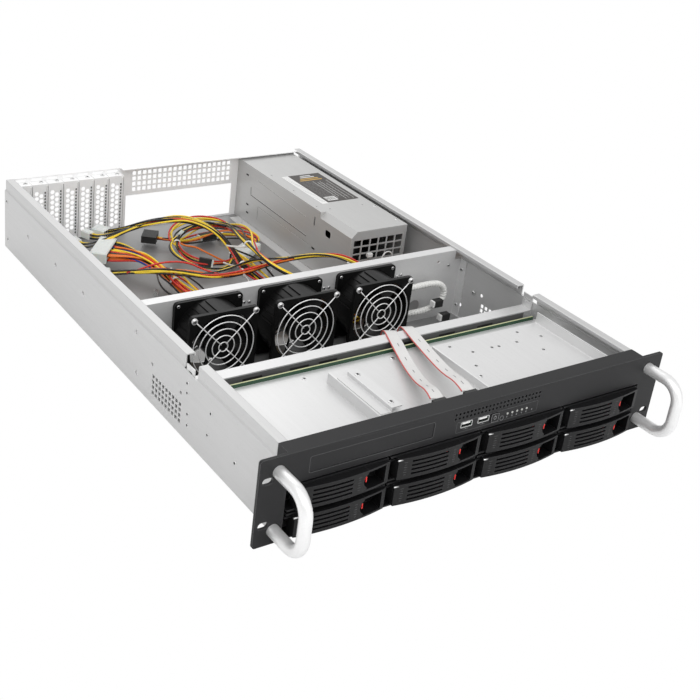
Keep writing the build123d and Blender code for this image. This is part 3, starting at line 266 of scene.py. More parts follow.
# Painted shade in pressed lines, slits and seams; DIM is painted shade over a sheet; GLOW is painted
# highlight on the lit sides of pressed lines
SHADE = plain("pressed line", (0.20, 0.20, 0.20), 0.5, speckle=0.05)
DIM = plain("shaded sheet", (0.13, 0.13, 0.13), 0.5, speckle=0.08)
GLOW = plain("pressed line lit side", (0.80, 0.80, 0.80), 0.5, speckle=0.03)
TAN = plain("board edge", (0.50, 0.52, 0.30), 0.5, speckle=0.08)
GOLD = plain("amber print", (0.55, 0.33, 0.06), 0.45, speckle=0.1)
LENS = plain("clear lamp lens", (0.42, 0.42, 0.40), 0.3, speckle=0.05)
FILM = plain("ribbon film", (0.66, 0.655, 0.645), 0.38, speckle=0.06)
WIRE_PINK = plain("ribbon edge core", (0.60, 0.10, 0.09), 0.4, speckle=0.05)
WRAP = plain("spiral wrap", (0.74, 0.74, 0.72), 0.30, speckle=0.05)
WIRE = {
    "black": plain("black wire cover", (0.007, 0.007, 0.007), 0.26, speckle=0.2),
    "red": plain("red wire cover", (0.60, 0.024, 0.012), 0.26, speckle=0.12),
    "yellow": plain("yellow wire cover", (0.90, 0.64, 0.03), 0.26, speckle=0.08),
    "orange": plain("orange wire cover", (0.80, 0.18, 0.015), 0.26, speckle=0.08),
    "blue": plain("blue wire cover", (0.015, 0.05, 0.32), 0.36, speckle=0.12),
    "white": plain("white wire cover", (0.80, 0.80, 0.78), 0.36, speckle=0.05),
}

# Which pieces keep their CAD mesh, by the material that they wear
EIGHT = range(1, 9)
CAD_PAINT = {
    ZINC: ["chassis_base"],
    ZINC_PAINTED_LIT: ["rear_panel", "slot_covers"],
    ZINC_IN: ["drive_cage", "brackets", "upper_shelf", "cross_brace", "fan_wall"],
    DULL: ["psu_cover", "psu_case"],
    BLACK_PAINT: ["front_panel", "bay_blank"],
    BLACK_PLASTIC: [f"tray_{i}" for i in EIGHT] + [f"lever_{i}" for i in EIGHT]
                   + ["power_button", "reset_button"],
    FAN_BLACK: ["fan_frames", "psu_fan_rotor", "fan_rotor_1", "fan_rotor_2", "fan_rotor_3"],
    HANDLE: ["handles"],
    BOARD: ["backplane", "control_board"],
    SOCKET: ["plugs_black", "psu_inlet"],
    RED: [f"latch_{i}" for i in EIGHT],
    DARK_PARTS_AND_SLOT_SHADE: ["psu_core"],
    STEEL: ["standoffs"],
}

# Middle lines of the bundles of leads, the same corners as in the part's source
ROUTES = {
    "harness_board": [
        (0.132, 0.077, 0.012), (0.132, 0.046, 0.011), (0.111, 0.02, 0.01), (0.075, 0.009, 0.009),
        (0.034, 0.011, 0.0085), (-0.006, 0.028, 0.0085), (-0.04, 0.056, 0.009), (-0.064, 0.09, 0.01),
        (-0.076, 0.124, 0.012), (-0.081, 0.152, 0.016), (-0.084, 0.178, 0.021), (-0.092, 0.203, 0.025),
        (-0.107, 0.224, 0.027), (-0.121, 0.236, 0.027),
    ],
    "harness_processor": [
        (0.12, 0.077, 0.012), (0.119, 0.055, 0.013), (0.104, 0.038, 0.014), (0.079, 0.033, 0.015),
        (0.056, 0.043, 0.016), (0.037, 0.064, 0.017), (0.023, 0.09, 0.018), (0.013, 0.116, 0.021),
        (0.007, 0.141, 0.027), (0.004, 0.165, 0.036), (0.004, 0.191, 0.045), (-0.004, 0.217, 0.052),
        (-0.024, 0.24, 0.056), (-0.05, 0.249, 0.054), (-0.074, 0.257, 0.048), (-0.093, 0.27, 0.038),
        (-0.106, 0.284, 0.03),
    ],
    "harness_drives": [
        (0.145, 0.077, 0.012), (0.147, 0.053, 0.014), (0.143, 0.031, 0.021), (0.131, 0.019, 0.034),
        (0.115, 0.023, 0.049), (0.104, 0.046, 0.058), (0.096, 0.074, 0.057), (0.082, 0.1, 0.05),
        (0.059, 0.117, 0.042), (0.03, 0.123, 0.036), (0, 0.121, 0.033), (-0.029, 0.119, 0.032),
        (-0.057, 0.125, 0.033), (-0.08, 0.14, 0.034), (-0.103, 0.158, 0.033), (-0.128, 0.168, 0.031),
        (-0.152, 0.176, 0.029),
    ],
    "harness_storage": [
        (0.071, 0.226, 0.011), (0.084, 0.235, 0.01), (0.088, 0.251, 0.0095), (0.079, 0.266, 0.009),
        (0.061, 0.274, 0.009), (0.04, 0.276, 0.009), (0.018, 0.274, 0.009), (-0.004, 0.272, 0.0095),
        (-0.022, 0.276, 0.0105), (-0.037, 0.286, 0.012),
    ],
    "harness_loop": [
        (0.156, 0.077, 0.012), (0.157, 0.054, 0.012), (0.152, 0.032, 0.013), (0.136, 0.016, 0.014),
        (0.111, 0.008, 0.019), (0.086, 0.01, 0.028), (0.062, 0.024, 0.035), (0.04, 0.048, 0.041),
        (0.024, 0.076, 0.046), (0.014, 0.104, 0.05), (0.013, 0.132, 0.052), (0.017, 0.16, 0.051),
        (0.024, 0.188, 0.048), (0.032, 0.215, 0.044), (0.036, 0.24, 0.039), (0.03, 0.26, 0.034),
        (0.01, 0.269, 0.031), (-0.012, 0.264, 0.028), (-0.029, 0.25, 0.025), (-0.037, 0.231, 0.021),
        (-0.034, 0.211, 0.017), (-0.021, 0.196, 0.014), (-0.003, 0.188, 0.012), (0.015, 0.189, 0.011),
        (0.029, 0.199, 0.011),
    ],
    "fan_lead": [
        (0.109, -0.03, 0.057), (0.129, -0.031, 0.058), (0.151, -0.031, 0.059), (0.17, -0.03, 0.056),
        (0.18, -0.029, 0.044), (0.175, -0.03, 0.031), (0.157, -0.031, 0.025), (0.134, -0.031, 0.024),
        (0.11, -0.03, 0.025),
    ],
}

# Each bundle: outer diameter, diameter of one wire, its wires and how far they stray
BUNDLES = {
    "harness_board": (
        0.012, 0.0023, ["black"] * 6 + ["red"] * 4 + ["orange"] * 4 + ["yellow"] * 4 + ["blue"], 1.28,
    ),
    "harness_processor": (0.008, 0.0023, ["yellow"] * 3 + ["black"] * 4 + ["red"], 1.25),
    "harness_drives": (0.007, 0.0023, ["yellow", "yellow", "black", "black", "red"], 1.30),
    "harness_storage": (0.005, 0.0020, ["red", "yellow", "black", "orange"], 1.25),
    "harness_loop": (0.0065, 0.0023, ["yellow", "yellow", "black", "black", "red"], 1.30),
}

# Milky plugs: middle, size, heading in degrees, contacts in a row and rows
PLUGS = {
    "plug_board": ((-0.1315, 0.244, 0.027), (0.021, 0.051, 0.014), 141.0, 12, 2),
    "plug_processor": ((-0.112, 0.2935, 0.028), (0.018, 0.017, 0.012), 122.0, 4, 2),
    "plug_loop": ((0.051, 0.2134, 0.011), (0.050, 0.022, 0.011), 33.0, 4, 1),
    "plug_drives": ((-0.162, 0.180, 0.028), (0.020, 0.021, 0.009), 158.0, 4, 1),
}

# Small plugs on the cords: share of the cord's length, size, and 0 for black or 1 for milky
STORAGE_PLUGS = ((0.62, (0.022, 0.013, 0.008), 0),)
LOOP_PLUGS = ((0.74, (0.009, 0.008, 0.006), 1), (0.90, (0.016, 0.012, 0.008), 0))

# Cable ties of each bundle: share of the cord's length, length of the tail and angle of the head
TIES = {
    "harness_board": ((0.30, 0.016, 0.8), (0.50, 0.032, 1.6), (0.72, 0.014, 4.0)),
    "harness_processor": ((0.22, 0.018, 1.0), (0.52, 0.022, 2.6)),
    "harness_drives": ((0.30, 0.018, 1.4), (0.66, 0.020, 0.6)),
    "harness_storage": ((0.5, 0.016, 1.0),),
    "harness_loop": ((0.20, 0.020, 1.2), (0.45, 0.022, 2.0), (0.78, 0.018, 0.4)),
}

# Wires that part from each bundle: share where they leave, share where they are back, how far out
# and colours
SWINGS = {
    "harness_board": (
        (0.10, 0.34, 0.014, ["red", "yellow", "black", "orange"]),
        (0.30, 0.58, 0.022, ["yellow", "red", "black", "orange", "red", "yellow"]),
        (0.52, 0.84, 0.024, ["black", "red", "black", "orange", "yellow", "black", "red"]),
    ),
    "harness_processor": (
        (0.54, 0.94, 0.010, ["red", "yellow", "black", "yellow"]),
        (0.34, 0.60, 0.018, ["yellow", "black", "red", "yellow"]),
    ),
    "harness_drives": (
        (0.50, 0.78, 0.018, ["red", "yellow", "orange", "black"]),
        (0.70, 0.98, 0.020, ["red", "yellow", "orange"]),
    ),
    "harness_storage": (
        (0.10, 0.92, 0.020, ["red", "yellow", "black", "orange"]),
        (0.30, 0.98, 0.014, ["black", "yellow"]),
    ),
    "harness_loop": (
        (0.40, 0.62, 0.018, ["yellow", "black", "red"]),
        (0.58, 0.80, 0.020, ["yellow", "black", "yellow", "red", "black"]),
        (0.76, 0.99, 0.018, ["red", "black", "yellow", "orange"]),
    ),
}


def read_route(name, points, steps=10):
    """Points along the smooth line that the corners of a route control."""
    data = bpy.data.curves.new(name, "CURVE")
    data.dimensions = "3D"
    data.resolution_u = steps
    spline = data.splines.new("NURBS")
    spline.points.add(len(points) - 1)
    spline.points.foreach_set("co", np.column_stack([points, np.ones(len(points))]).ravel())
    spline.order_u = 3
    spline.use_endpoint_u = True
    drawn = bpy.data.objects.new(name, data)
    mesh = bpy.data.meshes.new_from_object(drawn)
    found = np.zeros(len(mesh.vertices) * 3)
    mesh.vertices.foreach_get("co", found)
    bpy.data.objects.remove(drawn)
    bpy.data.curves.remove(data)
    bpy.data.meshes.remove(mesh)
    found = found.reshape(-1, 3)
    keep = np.append(True, np.linalg.norm(np.diff(found, axis=0), axis=1) > 1e-6)
    return found[keep]


def run_along(line):
    """Distance along a line at each of its points: the lengths of the steps added up."""
    return np.append(0.0, np.cumsum(np.linalg.norm(np.diff(line, axis=0), axis=1)))


def frames(line, start=(0.0, 0.0, 1.0)):
    """Two directions across a line at each point, each the last one laid flat against the new direction."""
    along = np.gradient(line, axis=0)
    along /= np.linalg.norm(along, axis=1)[:, None]
    side = np.empty_like(along)
    last = np.cross(along[0], start)
    for i, step in enumerate(along):
        last = last - step * (last @ step)
        last = last / np.linalg.norm(last)
        side[i] = last
    return side, np.cross(along, side)


def sweep(line, profile, start=(0.0, 0.0, 1.0)):
    """Grid of points: each point of the line, plus the profile's first number times side
    and its second number times up."""
    side, up = frames(line, start)
    profile = np.broadcast_to(profile, (len(line),) + np.shape(profile)[-2:])
    return line[:, None] + side[:, None] * profile[..., :1] + up[:, None] * profile[..., 1:], False


def circle(radius, sides):
    """Round profile: radius times cosine and sine of the angle."""
    turn = np.arange(sides) * 2 * np.pi / sides
    return radius * np.column_stack([np.cos(turn), np.sin(turn)])


def rounded(width, height, radius, steps=3):
    """Rectangle whose corners are quarter circles, run round from the right."""
    turn = np.concatenate([np.linspace(q, q + np.pi / 2, steps) for q in np.arange(4) * np.pi / 2])
    corner = np.repeat([[1, 1], [-1, 1], [-1, -1], [1, -1]], steps, axis=0)
    middle = corner * (np.array([width, height]) / 2 - radius)
    return middle + radius * np.column_stack([np.cos(turn), np.sin(turn)])


def revolve(centre, axis, profile, sides):
    """Grid round an axis: rows are (radius, height) pairs of the profile, columns are angles."""
    axis = np.array(axis, float)
    axis /= np.linalg.norm(axis)
    side = np.cross(axis, (0.3, 0.5, 0.8))
    side /= np.linalg.norm(side)
    up = np.cross(axis, side)
    turn = np.arange(sides) * 2 * np.pi / sides
    ring = np.cos(turn)[:, None] * side + np.sin(turn)[:, None] * up
    profile = np.array(profile, float)
    return np.array(centre) + profile[:, :1, None] * ring + profile[:, 1:, None] * axis, False


def brick(centre, size, axes=None, bevel=0.0004):
    """Rounded block: a rounded rectangle swept up, drawn in by the bevel at both ends."""
    w, d, h = size
    bevel = min(bevel, min(size) * 0.3)
    full, small = rounded(w, d, bevel), rounded(w - 2 * bevel, d - 2 * bevel, bevel * 0.3)
    levels = ((-h / 2, small), (bevel - h / 2, full), (h / 2 - bevel, full), (h / 2, small))
    grid = np.array([np.column_stack([ring, np.full(len(ring), z)]) for z, ring in levels])
    turn = np.eye(3) if axes is None else np.array(axes, float)
    return np.array(centre) + grid @ turn, False


def heading(degrees):
    """Three directions of a block turned about the upright by so many degrees."""
    c, s = math.cos(math.radians(degrees)), math.sin(math.radians(degrees))
    return ((c, s, 0), (-s, c, 0), (0, 0, 1))


def piece(name, grids, materials, body="chassis", smooth=True):
    """One object from grids, each given as ((points, closed), material number).
    Quads join each row and column to the next, columns run round, and open ends are capped."""
    points, faces, slots, base = [], [], [], 0
    for (grid, closed), slot in grids:
        rows, cols = grid.shape[:2]
        index = base + np.arange(rows * cols).reshape(rows, cols)
        if closed:
            index = np.vstack([index, index[:1]])
        low, high = index[:-1], index[1:]
        quads = np.stack([low, np.roll(low, -1, 1), np.roll(high, -1, 1), high], axis=-1).reshape(-1, 4)
        made = quads.tolist()
        if not closed:
            made += [index[0][::-1].tolist(), index[-1].tolist()]
        faces += made
        slots += [slot] * len(made)
        points.append(grid.reshape(-1, 3))
        base += rows * cols
    mesh = bpy.data.meshes.new(name)
    mesh.from_pydata(np.vstack(points).tolist(), [], faces)
    for material in materials:
        mesh.materials.append(material)
    mesh.polygons.foreach_set("material_index", slots)
    sizes = np.array([len(f) for f in faces])
    mesh.polygons.foreach_set("use_smooth", (sizes == 4) if smooth else np.zeros(len(faces), bool))
    mesh.update()
    made = bpy.data.objects.new(name, mesh)
    bpy.context.scene.collection.objects.link(made)
    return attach(made, body)


def strands(line, diameter, wire, colours, stray, seed):
    """Wires of a bundle: wire k sits 2.4 radians on from the last, turns lay times a metre about the middle
    line, and its distance, room times the square root of its share, swells and shrinks along the run."""
    rng = np.random.default_rng(seed)
    side, up = frames(line)
    run = run_along(line)
    room = (diameter - wire) / 2 * stray
    lay = rng.uniform(0.8, 2.0)
    lines = []
    for k in range(len(colours)):
        share = math.sqrt((k + 0.5) / len(colours))
        angle = k * 2.4 + 2 * np.pi * run * lay + rng.uniform(0.2, 0.7) * np.sin(run * rng.uniform(20, 50))
        reach = room * share * (1 + 0.22 * np.sin(run * rng.uniform(40, 90) + rng.uniform(0, 6)))
        path = line + side * (reach * np.cos(angle))[:, None] + up * (reach * np.sin(angle))[:, None]
        path[:, 2] = np.maximum(path[:, 2], SHEET_TOP + wire / 2)
        lines.append(path)
    return lines


def tie(line, share, radius, tail, turn):
    """White cable tie: a flat band round the bundle, its square head and a thin tail."""
    i = int(share * (len(line) - 1))
    side, up = frames(line)
    along = np.cross(side[i], up[i])
    angle = np.arange(20) * 2 * np.pi / 20
    ring = line[i] + radius * (np.cos(angle)[:, None] * side[i] + np.sin(angle)[:, None] * up[i])
    outward = (ring - line[i]) / radius
    section = ((-TIE_HALF, TIE_IN), (TIE_HALF, TIE_IN), (TIE_HALF, TIE_OUT), (-TIE_HALF, TIE_OUT))
    band = np.array([ring + a * along[None] + b * outward for a, b in section])
    out = math.cos(turn) * side[i] + math.sin(turn) * up[i]
    across = np.cross(along, out)
    head = brick(line[i] + out * (radius + 0.0012), TIE_HEAD, (along, across, out))
    share = np.linspace(0, 1, 8)[:, None]
    start = line[i] + out * (radius + 0.0015)
    route = start + share * tail * (0.75 * out + 0.6 * across) + share ** 2 * tail * 0.3 * along
    strip = sweep(route, rounded(2 * TIE_HALF, 0.0008, 0.0003, 2), start=tuple(along))
    grids = [(band.transpose(1, 0, 2), True), head, strip]
    for grid, _ in grids:
        grid[..., 2] = np.clip(grid[..., 2], TIE_LOW, 0.085)
    return [(grid, 0) for grid in grids]


def bundle(name, seed, line, with_pieces):
    """Wires along one route, with its ties."""
    diameter, wire, colours, stray = BUNDLES[name]
    kinds = sorted(set(colours))
    grids = [(sweep(path, circle(wire / 2, 6)), kinds.index(colour))
             for path, colour in zip(strands(line, diameter, wire, colours, stray, seed), colours)]
    made = piece(name + "_wires", grids, [WIRE[k] for k in kinds])
    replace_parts(made, name)
    extra = list(with_pieces)
    for k, (begin, end, spread, some) in enumerate(SWINGS[name]):
        extra.append(loose(f"{name}_loose_{k + 1}", line, begin, end, spread, some, seed * 10 + k))
    bands = []
    for share, tail, turn in TIES[name]:
        bands += tie(line, share, diameter / 2 + 0.0004, tail, turn)
    extra.append(piece(name + "_ties", bands, [WIRE["white"]]))


def bow(first, ahead, last, behind):
    """Points of the cubic from first to last that leaves with slope ahead and arrives with slope behind."""
    t = np.linspace(0, 1, 24)[:, None]
    first, ahead, last, behind = (np.array(v, float) for v in (first, ahead, last, behind))
    return ((2 * t ** 3 - 3 * t ** 2 + 1) * first + (t ** 3 - 2 * t ** 2 + t) * ahead
            + (3 * t ** 2 - 2 * t ** 3) * last + (t ** 3 - t ** 2) * behind)


def housing(name, centre, size, turn, cells, rows):
    """Milky plug: a rounded block with a flute over and under each contact and cells of painted shade at both
    ends.
    """
    axes = np.array(heading(turn))
    length, width, height = size
    grids = [(brick(centre, size, axes, 0.0012), 0)]
    pitch = (width - 0.002) / cells
    for k in range(cells):
        off = (k - (cells - 1) / 2) * pitch
        for face in (-1, 1):
            place = np.array(centre) + off * axes[1] + face * (height / 2) * axes[2]
            grids.append((brick(place, (length * 0.92, pitch * 0.62, 0.0008), axes, 0.0003), 0))
        for r in range(rows):
            place = np.array(centre) + off * axes[1] + (r - (rows - 1) / 2) * height / rows * axes[2]
            cell = (0.0004, pitch * 0.6, height / rows * 0.62)
            for end in (1, -1):
                grids.append((brick(place + end * axes[0] * length / 2, cell, axes, 0.0001), 1))
    made = piece(name, grids, [MILKY, RECESS_SHADE], smooth=False)
    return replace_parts(made, "plugs_clear")


def loose(name, line, begin, end, spread, colours, seed):
    """Wires that part from a bundle and come back: each keeps to the line,
    but swings out by up to spread times half a sine."""
    rng = np.random.default_rng(seed)
    part = line[int(begin * (len(line) - 1)):int(end * (len(line) - 1)) + 1]
    side, up = frames(part)
    t = np.linspace(0, np.pi, len(part))
    kinds = sorted(set(colours))
    grids = []
    for colour in colours:
        out = rng.uniform(-1, 1) * spread * np.sin(t)
        out = out + 0.002 * np.sin(t * rng.uniform(2, 4) + rng.uniform(0, 6))
        lift = rng.uniform(0.1, 0.9) * spread * 0.6 * np.sin(t) ** 2 + rng.uniform(-0.002, 0.002)
        path = part + side * out[:, None] + np.array((0.0, 0.0, 1.0)) * lift[:, None]
        path[:, 1] = np.maximum(path[:, 1], -0.006)
        path[:, 2] = np.clip(path[:, 2], WIRE_LOW, WIRE_HIGH)
        grids.append((sweep(path, circle(WIRE_R, 6)), kinds.index(colour)))
    return piece(name, grids, [WIRE[k] for k in kinds])


def inline(name, line, spots):
    """Small plugs on a cord: each a rounded block along it at a share of its length, with a pale end."""
    side, up = frames(line)
    along = np.cross(side, up)
    grids = []
    for share, size, slot in spots:
        i = int(share * (len(line) - 1))
        axes = (along[i], side[i], up[i])
        middle = line[i].copy()
        middle[2] = max(middle[2], size[2] / 2 + 0.002)
        grids.append((brick(middle, size, axes, 0.0006), slot))
        end = middle + along[i] * (size[0] / 2 + 0.0008)
        grids.append((brick(end, (0.0030, size[1] * 0.86, size[2] * 0.8), axes, 0.0004), 1))
    return piece(name, grids, [SOCKET, MILKY], smooth=False)


def side_plugs(line):
    """Two more small milky plugs beside the processor plug, each with four wires that join the cord."""
    grids = []
    rng = np.random.default_rng(8)
    spots = (((-0.133, 0.288, 0.030), 112.0, 0.93), ((-0.152, 0.280, 0.026), 100.0, 0.90))
    for place, turn, share in spots:
        axes = np.array(heading(turn))
        centre = np.array(place)
        grids.append((brick(centre, (0.014, 0.0095, 0.0095), axes, 0.0008), 0))
        for off in (-0.0024, 0.0024):
            flute = centre + axes[1] * off + axes[2] * 0.0048
            grids.append((brick(flute, (0.0125, 0.0028, 0.0008), axes, 0.0003), 0))
        i = int(share * (len(line) - 1))
        ahead = line[i + 1] - line[i]
        ahead = ahead / np.linalg.norm(ahead)
        for k in range(4):
            corner = axes[1] * (k % 2 * 2 - 1) + axes[2] * (k // 2 * 2 - 1)
            last = centre - axes[0] * 0.0070 + corner * 0.0022
            first = line[i] + rng.uniform(-0.002, 0.002, 3)
            reach = np.linalg.norm(last - first)
            path = bow(first, ahead * reach * 0.8, last, axes[0] * reach * rng.uniform(0.8, 1.3))
            path[:, 2] = np.clip(path[:, 2], WIRE_LOW, WIRE_HIGH)
            grids.append((sweep(path, circle(WIRE_R, 6)), 1 + k % 2))
    return piece("side_plugs", grids, [MILKY, WIRE["yellow"], WIRE["black"]], smooth=False)


def board_fan(line):
    """Wires that leave the main bundle and spread over the width of the long board plug."""
    place, size, turn = PLUGS["plug_board"][:3]
    centre, axes = np.array(place), np.array(heading(turn))
    colours = ["black", "yellow", "red", "blue", "orange", "black",
               "red", "yellow", "black", "orange", "red", "black"]
    kinds = sorted(set(colours))
    grids = []
    rng = np.random.default_rng(5)
    for k in range(22):
        column, row = k % 11, k // 11
        start = int(len(line) * (0.80 + 0.06 * abs(column - 5) / 5))
        ahead = line[start + 1] - line[start]
        ahead = ahead / np.linalg.norm(ahead)
        first = line[start] + (column - 5) * 0.0006 * axes[1] + (row - 0.5) * 0.004 * axes[2]
        contact = (column - 5) * 0.0042 * axes[1] + (row - 0.5) * 0.006 * axes[2]
        last = centre - axes[0] * size[0] / 2 + contact
        reach = np.linalg.norm(last - first)
        path = bow(first, ahead * reach * 1.2, last, axes[0] * reach * rng.uniform(0.7, 1.1))
        path[:, 2] = np.clip(path[:, 2], WIRE_LOW, WIRE_HIGH)
        grids.append((sweep(path, circle(0.0011, 6)), kinds.index(colours[(k * 5) % len(colours)])))
    return piece("board_plug_wires", grids, [WIRE[k] for k in kinds])


def dress_cad():
    """Materials for the pieces that keep their CAD mesh."""
    for material, names in CAD_PAINT.items():
        for name in names:
            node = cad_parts[name]
            node.data.materials.clear()
            node.data.materials.append(material)


def camera():
    """The view of the photograph, from a fit of known corners."""
    az, el, roll = (math.radians(degrees) for degrees in VIEW_TURN)
    ahead = Vector((-math.sin(az) * math.cos(el), math.cos(az) * math.cos(el), -math.sin(el)))
    right = ahead.cross(Vector((0, 0, 1))).normalized()
    up = right.cross(ahead)
    level = math.cos(roll) * right + math.sin(roll) * up
    upright = math.cos(roll) * up - math.sin(roll) * right
    data = bpy.data.cameras.new("camera")
    data.lens, data.sensor_width = VIEW_LENS, 36.0
    data.shift_x, data.shift_y = VIEW_SHIFT
    data.clip_start, data.clip_end = 0.05, 50.0
    made = bpy.data.objects.new("camera", data)
    bpy.context.scene.collection.objects.link(made)
    turn = Matrix((level, upright, -ahead)).transposed().to_4x4()
    made.matrix_world = Matrix.Translation(VIEW_PLACE) @ turn
    bpy.context.scene.camera = made


def lamp(name, place, target, size, power):
    """Soft square light aimed at a point."""
    data = bpy.data.lights.new(name, "AREA")
    data.shape, data.size, data.energy = "SQUARE", size, power
    made = bpy.data.objects.new(name, data)
    made.location = place
    made.rotation_euler = (Vector(target) - Vector(place)).to_track_quat("-Z", "Y").to_euler()
    bpy.context.scene.collection.objects.link(made)


def studio():
    """Pale floor, white surroundings for the camera and three soft lights."""
    bpy.ops.mesh.primitive_plane_add(size=30.0, location=(0, 0, -0.0005))
    floor = bpy.context.object
    floor.name = "floor"
    paint = Paint("floor")
    paint.surface(Base_Color=(0.90, 0.90, 0.90), Roughness=1.0)
    ray, mixer = paint.node("LightPath"), paint.node("MixShader")
    seen = paint.node("Emission")
    seen.inputs[0].default_value = (1.0, 1.0, 1.0, 1.0)
    paint.tree.links.new(ray.outputs["Is Camera Ray"], mixer.inputs[0])
    paint.tree.links.new(paint.shader.outputs[0], mixer.inputs[1])
    paint.tree.links.new(seen.outputs[0], mixer.inputs[2])
    paint.tree.links.new(mixer.outputs[0], paint.tree.nodes["Material Output"].inputs[0])
    floor.data.materials.append(paint.material)
    world = bpy.data.worlds.new("studio")
    bpy.context.scene.world = world
    world.use_nodes = True
    tree = world.node_tree
    tree.nodes.clear()
    soft, white = tree.nodes.new("ShaderNodeBackground"), tree.nodes.new("ShaderNodeBackground")
    for light, strength in ((soft, SURROUND), (white, 1.0)):
        light.inputs[0].default_value = (1.0, 1.0, 1.0, 1.0)
        light.inputs[1].default_value = strength
    ray, mixer = tree.nodes.new("ShaderNodeLightPath"), tree.nodes.new("ShaderNodeMixShader")
    out = tree.nodes.new("ShaderNodeOutputWorld")
    tree.links.new(ray.outputs["Is Camera Ray"], mixer.inputs[0])
    tree.links.new(soft.outputs[0], mixer.inputs[1])
    tree.links.new(white.outputs[0], mixer.inputs[2])
    tree.links.new(mixer.outputs[0], out.inputs[0])
    for name, facts in LAMPS.items():
        lamp(name, *facts)


# Flat leads: where their plugs lie across the case, heading in degrees from straight back, and side
# profile as distance and height; width, pitch of the cores and place behind the front, in metres
RIBBONS = {
    "ribbon_left": (-0.0375, 22.7, [
        (0.0031, 0.0835), (0.018, 0.0845), (0.048, 0.073), (0.092, 0.066), (0.150, 0.0649), (0.1725, 0.0646),
        (0.180, 0.059), (0.182, 0.042), (0.1825, 0.020),
    ]),
    "ribbon_right": (0.0, 18.1, [
        (0.0025, 0.0835), (0.018, 0.0845), (0.050, 0.075), (0.092, 0.070), (0.140, 0.066), (0.168, 0.0646),
        (0.175, 0.059), (0.177, 0.042), (0.1775, 0.020),
    ]),
}
RIBBON_W, RIBBON_PITCH = 0.014, 0.00127
RIBBON_Y0 = -0.276


def ribbon(name):
    """Flat lead of eleven round cores side by side, the core at the left edge red."""
    x, angle, profile = RIBBONS[name]
    turn = math.radians(angle)
    points = [(x + s * math.sin(turn), RIBBON_Y0 + s * math.cos(turn), z) for s, z in profile]
    line = read_route(name, points, 14)
    across = np.linspace(-RIBBON_W / 2 + 0.0013, RIBBON_W / 2, 41)
    thick = 0.00030 + 0.00018 * np.abs(np.cos(np.pi * across / RIBBON_PITCH))
    body = np.vstack([np.column_stack([across, -thick]), np.column_stack([across[::-1], thick[::-1]])])
    edge = circle(0.00065, 8) + (-RIBBON_W / 2 + 0.0007, 0.0)
    made = piece(name + "_film", [(sweep(line, body), 0), (sweep(line, edge), 1)], [FILM, WIRE_PINK])
    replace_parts(made, name)
    side, up = frames(line)
    along = np.cross(side, up)
    grids = []
    for i in range(8, len(line) // 2, 9):
        axes = (side[i], along[i], up[i])
        for sign in (-1, 1):
            place = line[i] + up[i] * 0.00052 * sign + side[i] * 0.0006 * (i % 3 - 1)
            grids.append((brick(place, (0.0009, 0.0065, 0.00008), axes, 0.00002), 0))
    marks = piece(name + "_marks", grids, [GREY_INK], smooth=False)


def fan_lead():
    """Lead of the third fan in a spiral wrap: the radius dips along a helix, one turn every 4 mm."""
    line = read_route("fan_lead", ROUTES["fan_lead"], 40)
    run = run_along(line)
    sides = 14
    phase = (run[:, None] / 0.004 - np.arange(sides) / sides) % 1.0
    radius = 0.0038 - 0.0009 * np.exp(-((phase - 0.5) / 0.16) ** 2)
    grid = sweep(line, radius[..., None] * circle(1.0, sides))
    inner = sweep(line, circle(0.0026, 8))
    made = piece("fan_lead_wrap", [(grid, 0), (inner, 1)], [WRAP, WIRE["black"]])
    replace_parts(made, "fan_lead")


def spot(x, y, z):
    """A place in the frame from millimetres, y counted back from the front panel's face."""
    return np.array((x / 1000, y / 1000 + FRONT_Y, z / 1000))


def bar(centre, size, axes=None, bevel=0.05):
    """Small block from millimetres."""
    return brick(spot(*centre), np.array(size) / 1000, axes, bevel / 1000)


def mark(centre, size, slot):
    """Flat printed or pressed mark: a thin block, and the number of its material."""
    return bar(centre, size, bevel=0.02), slot


def frame_line(centre, width, height, radius, line, thick):
    """Closed flat line that runs round a rounded rectangle on the front, line wide and thick high."""
    across, upright, ahead = np.array(((1, 0, 0), (0, 0, 1), (0, -1, 0)), float)
    outer = rounded(width + line, height + line, radius + line / 2, 5)
    inner = rounded(width - line, height - line, max(radius - line / 2, 0.02), 5)
    ring = np.stack([inner, outer, outer, inner], 1) / 1000
    rise = np.array([1, 1, -1, -1])[None, :, None] * thick / 2000
    return spot(*centre) + ring[..., :1] * across + ring[..., 1:] * upright + rise * ahead, True


def studs(name, places, material, hole_shade_share=0.0):
    """Low domed heads, each at a point, along an axis and of a radius, with a small cross cut in painted
    shade, and a middle in painted shade whose radius is the given share of the head's radius."""
    grids = []
    for point, axis, radius in places:
        if hole_shade_share:
            middle = [(radius * hole_shade_share, 0.0), (radius * hole_shade_share, radius * 0.36)]
            grids.append((revolve(point, axis, middle, 12), 1))
        dome = [(radius * 0.99, 0.0), (radius, radius * 0.10), (radius * 0.88, radius * 0.22),
                (radius * 0.5, radius * 0.30), (radius * 0.08, radius * 0.33)]
        grids.append((revolve(point, axis, dome, 14), 0))
        axis = np.array(axis, float)
        side = np.cross(axis, (0.3, 0.5, 0.8))
        side /= np.linalg.norm(side)
        up = np.cross(axis, side)
        for a, b in ((side, up), (up, -side)):
            at = np.array(point) + axis * radius * 0.31
            grids.append((brick(at, (radius * 1.2, radius * 0.26, radius * 0.08), (a, b, axis), 0.00003), 1))
    return piece(name, grids, [material, RECESS_SHADE])


def fan_x(i):
    """Middle of a fan across the case, in millimetres."""
    return FAN_X0 + FAN_PITCH * i


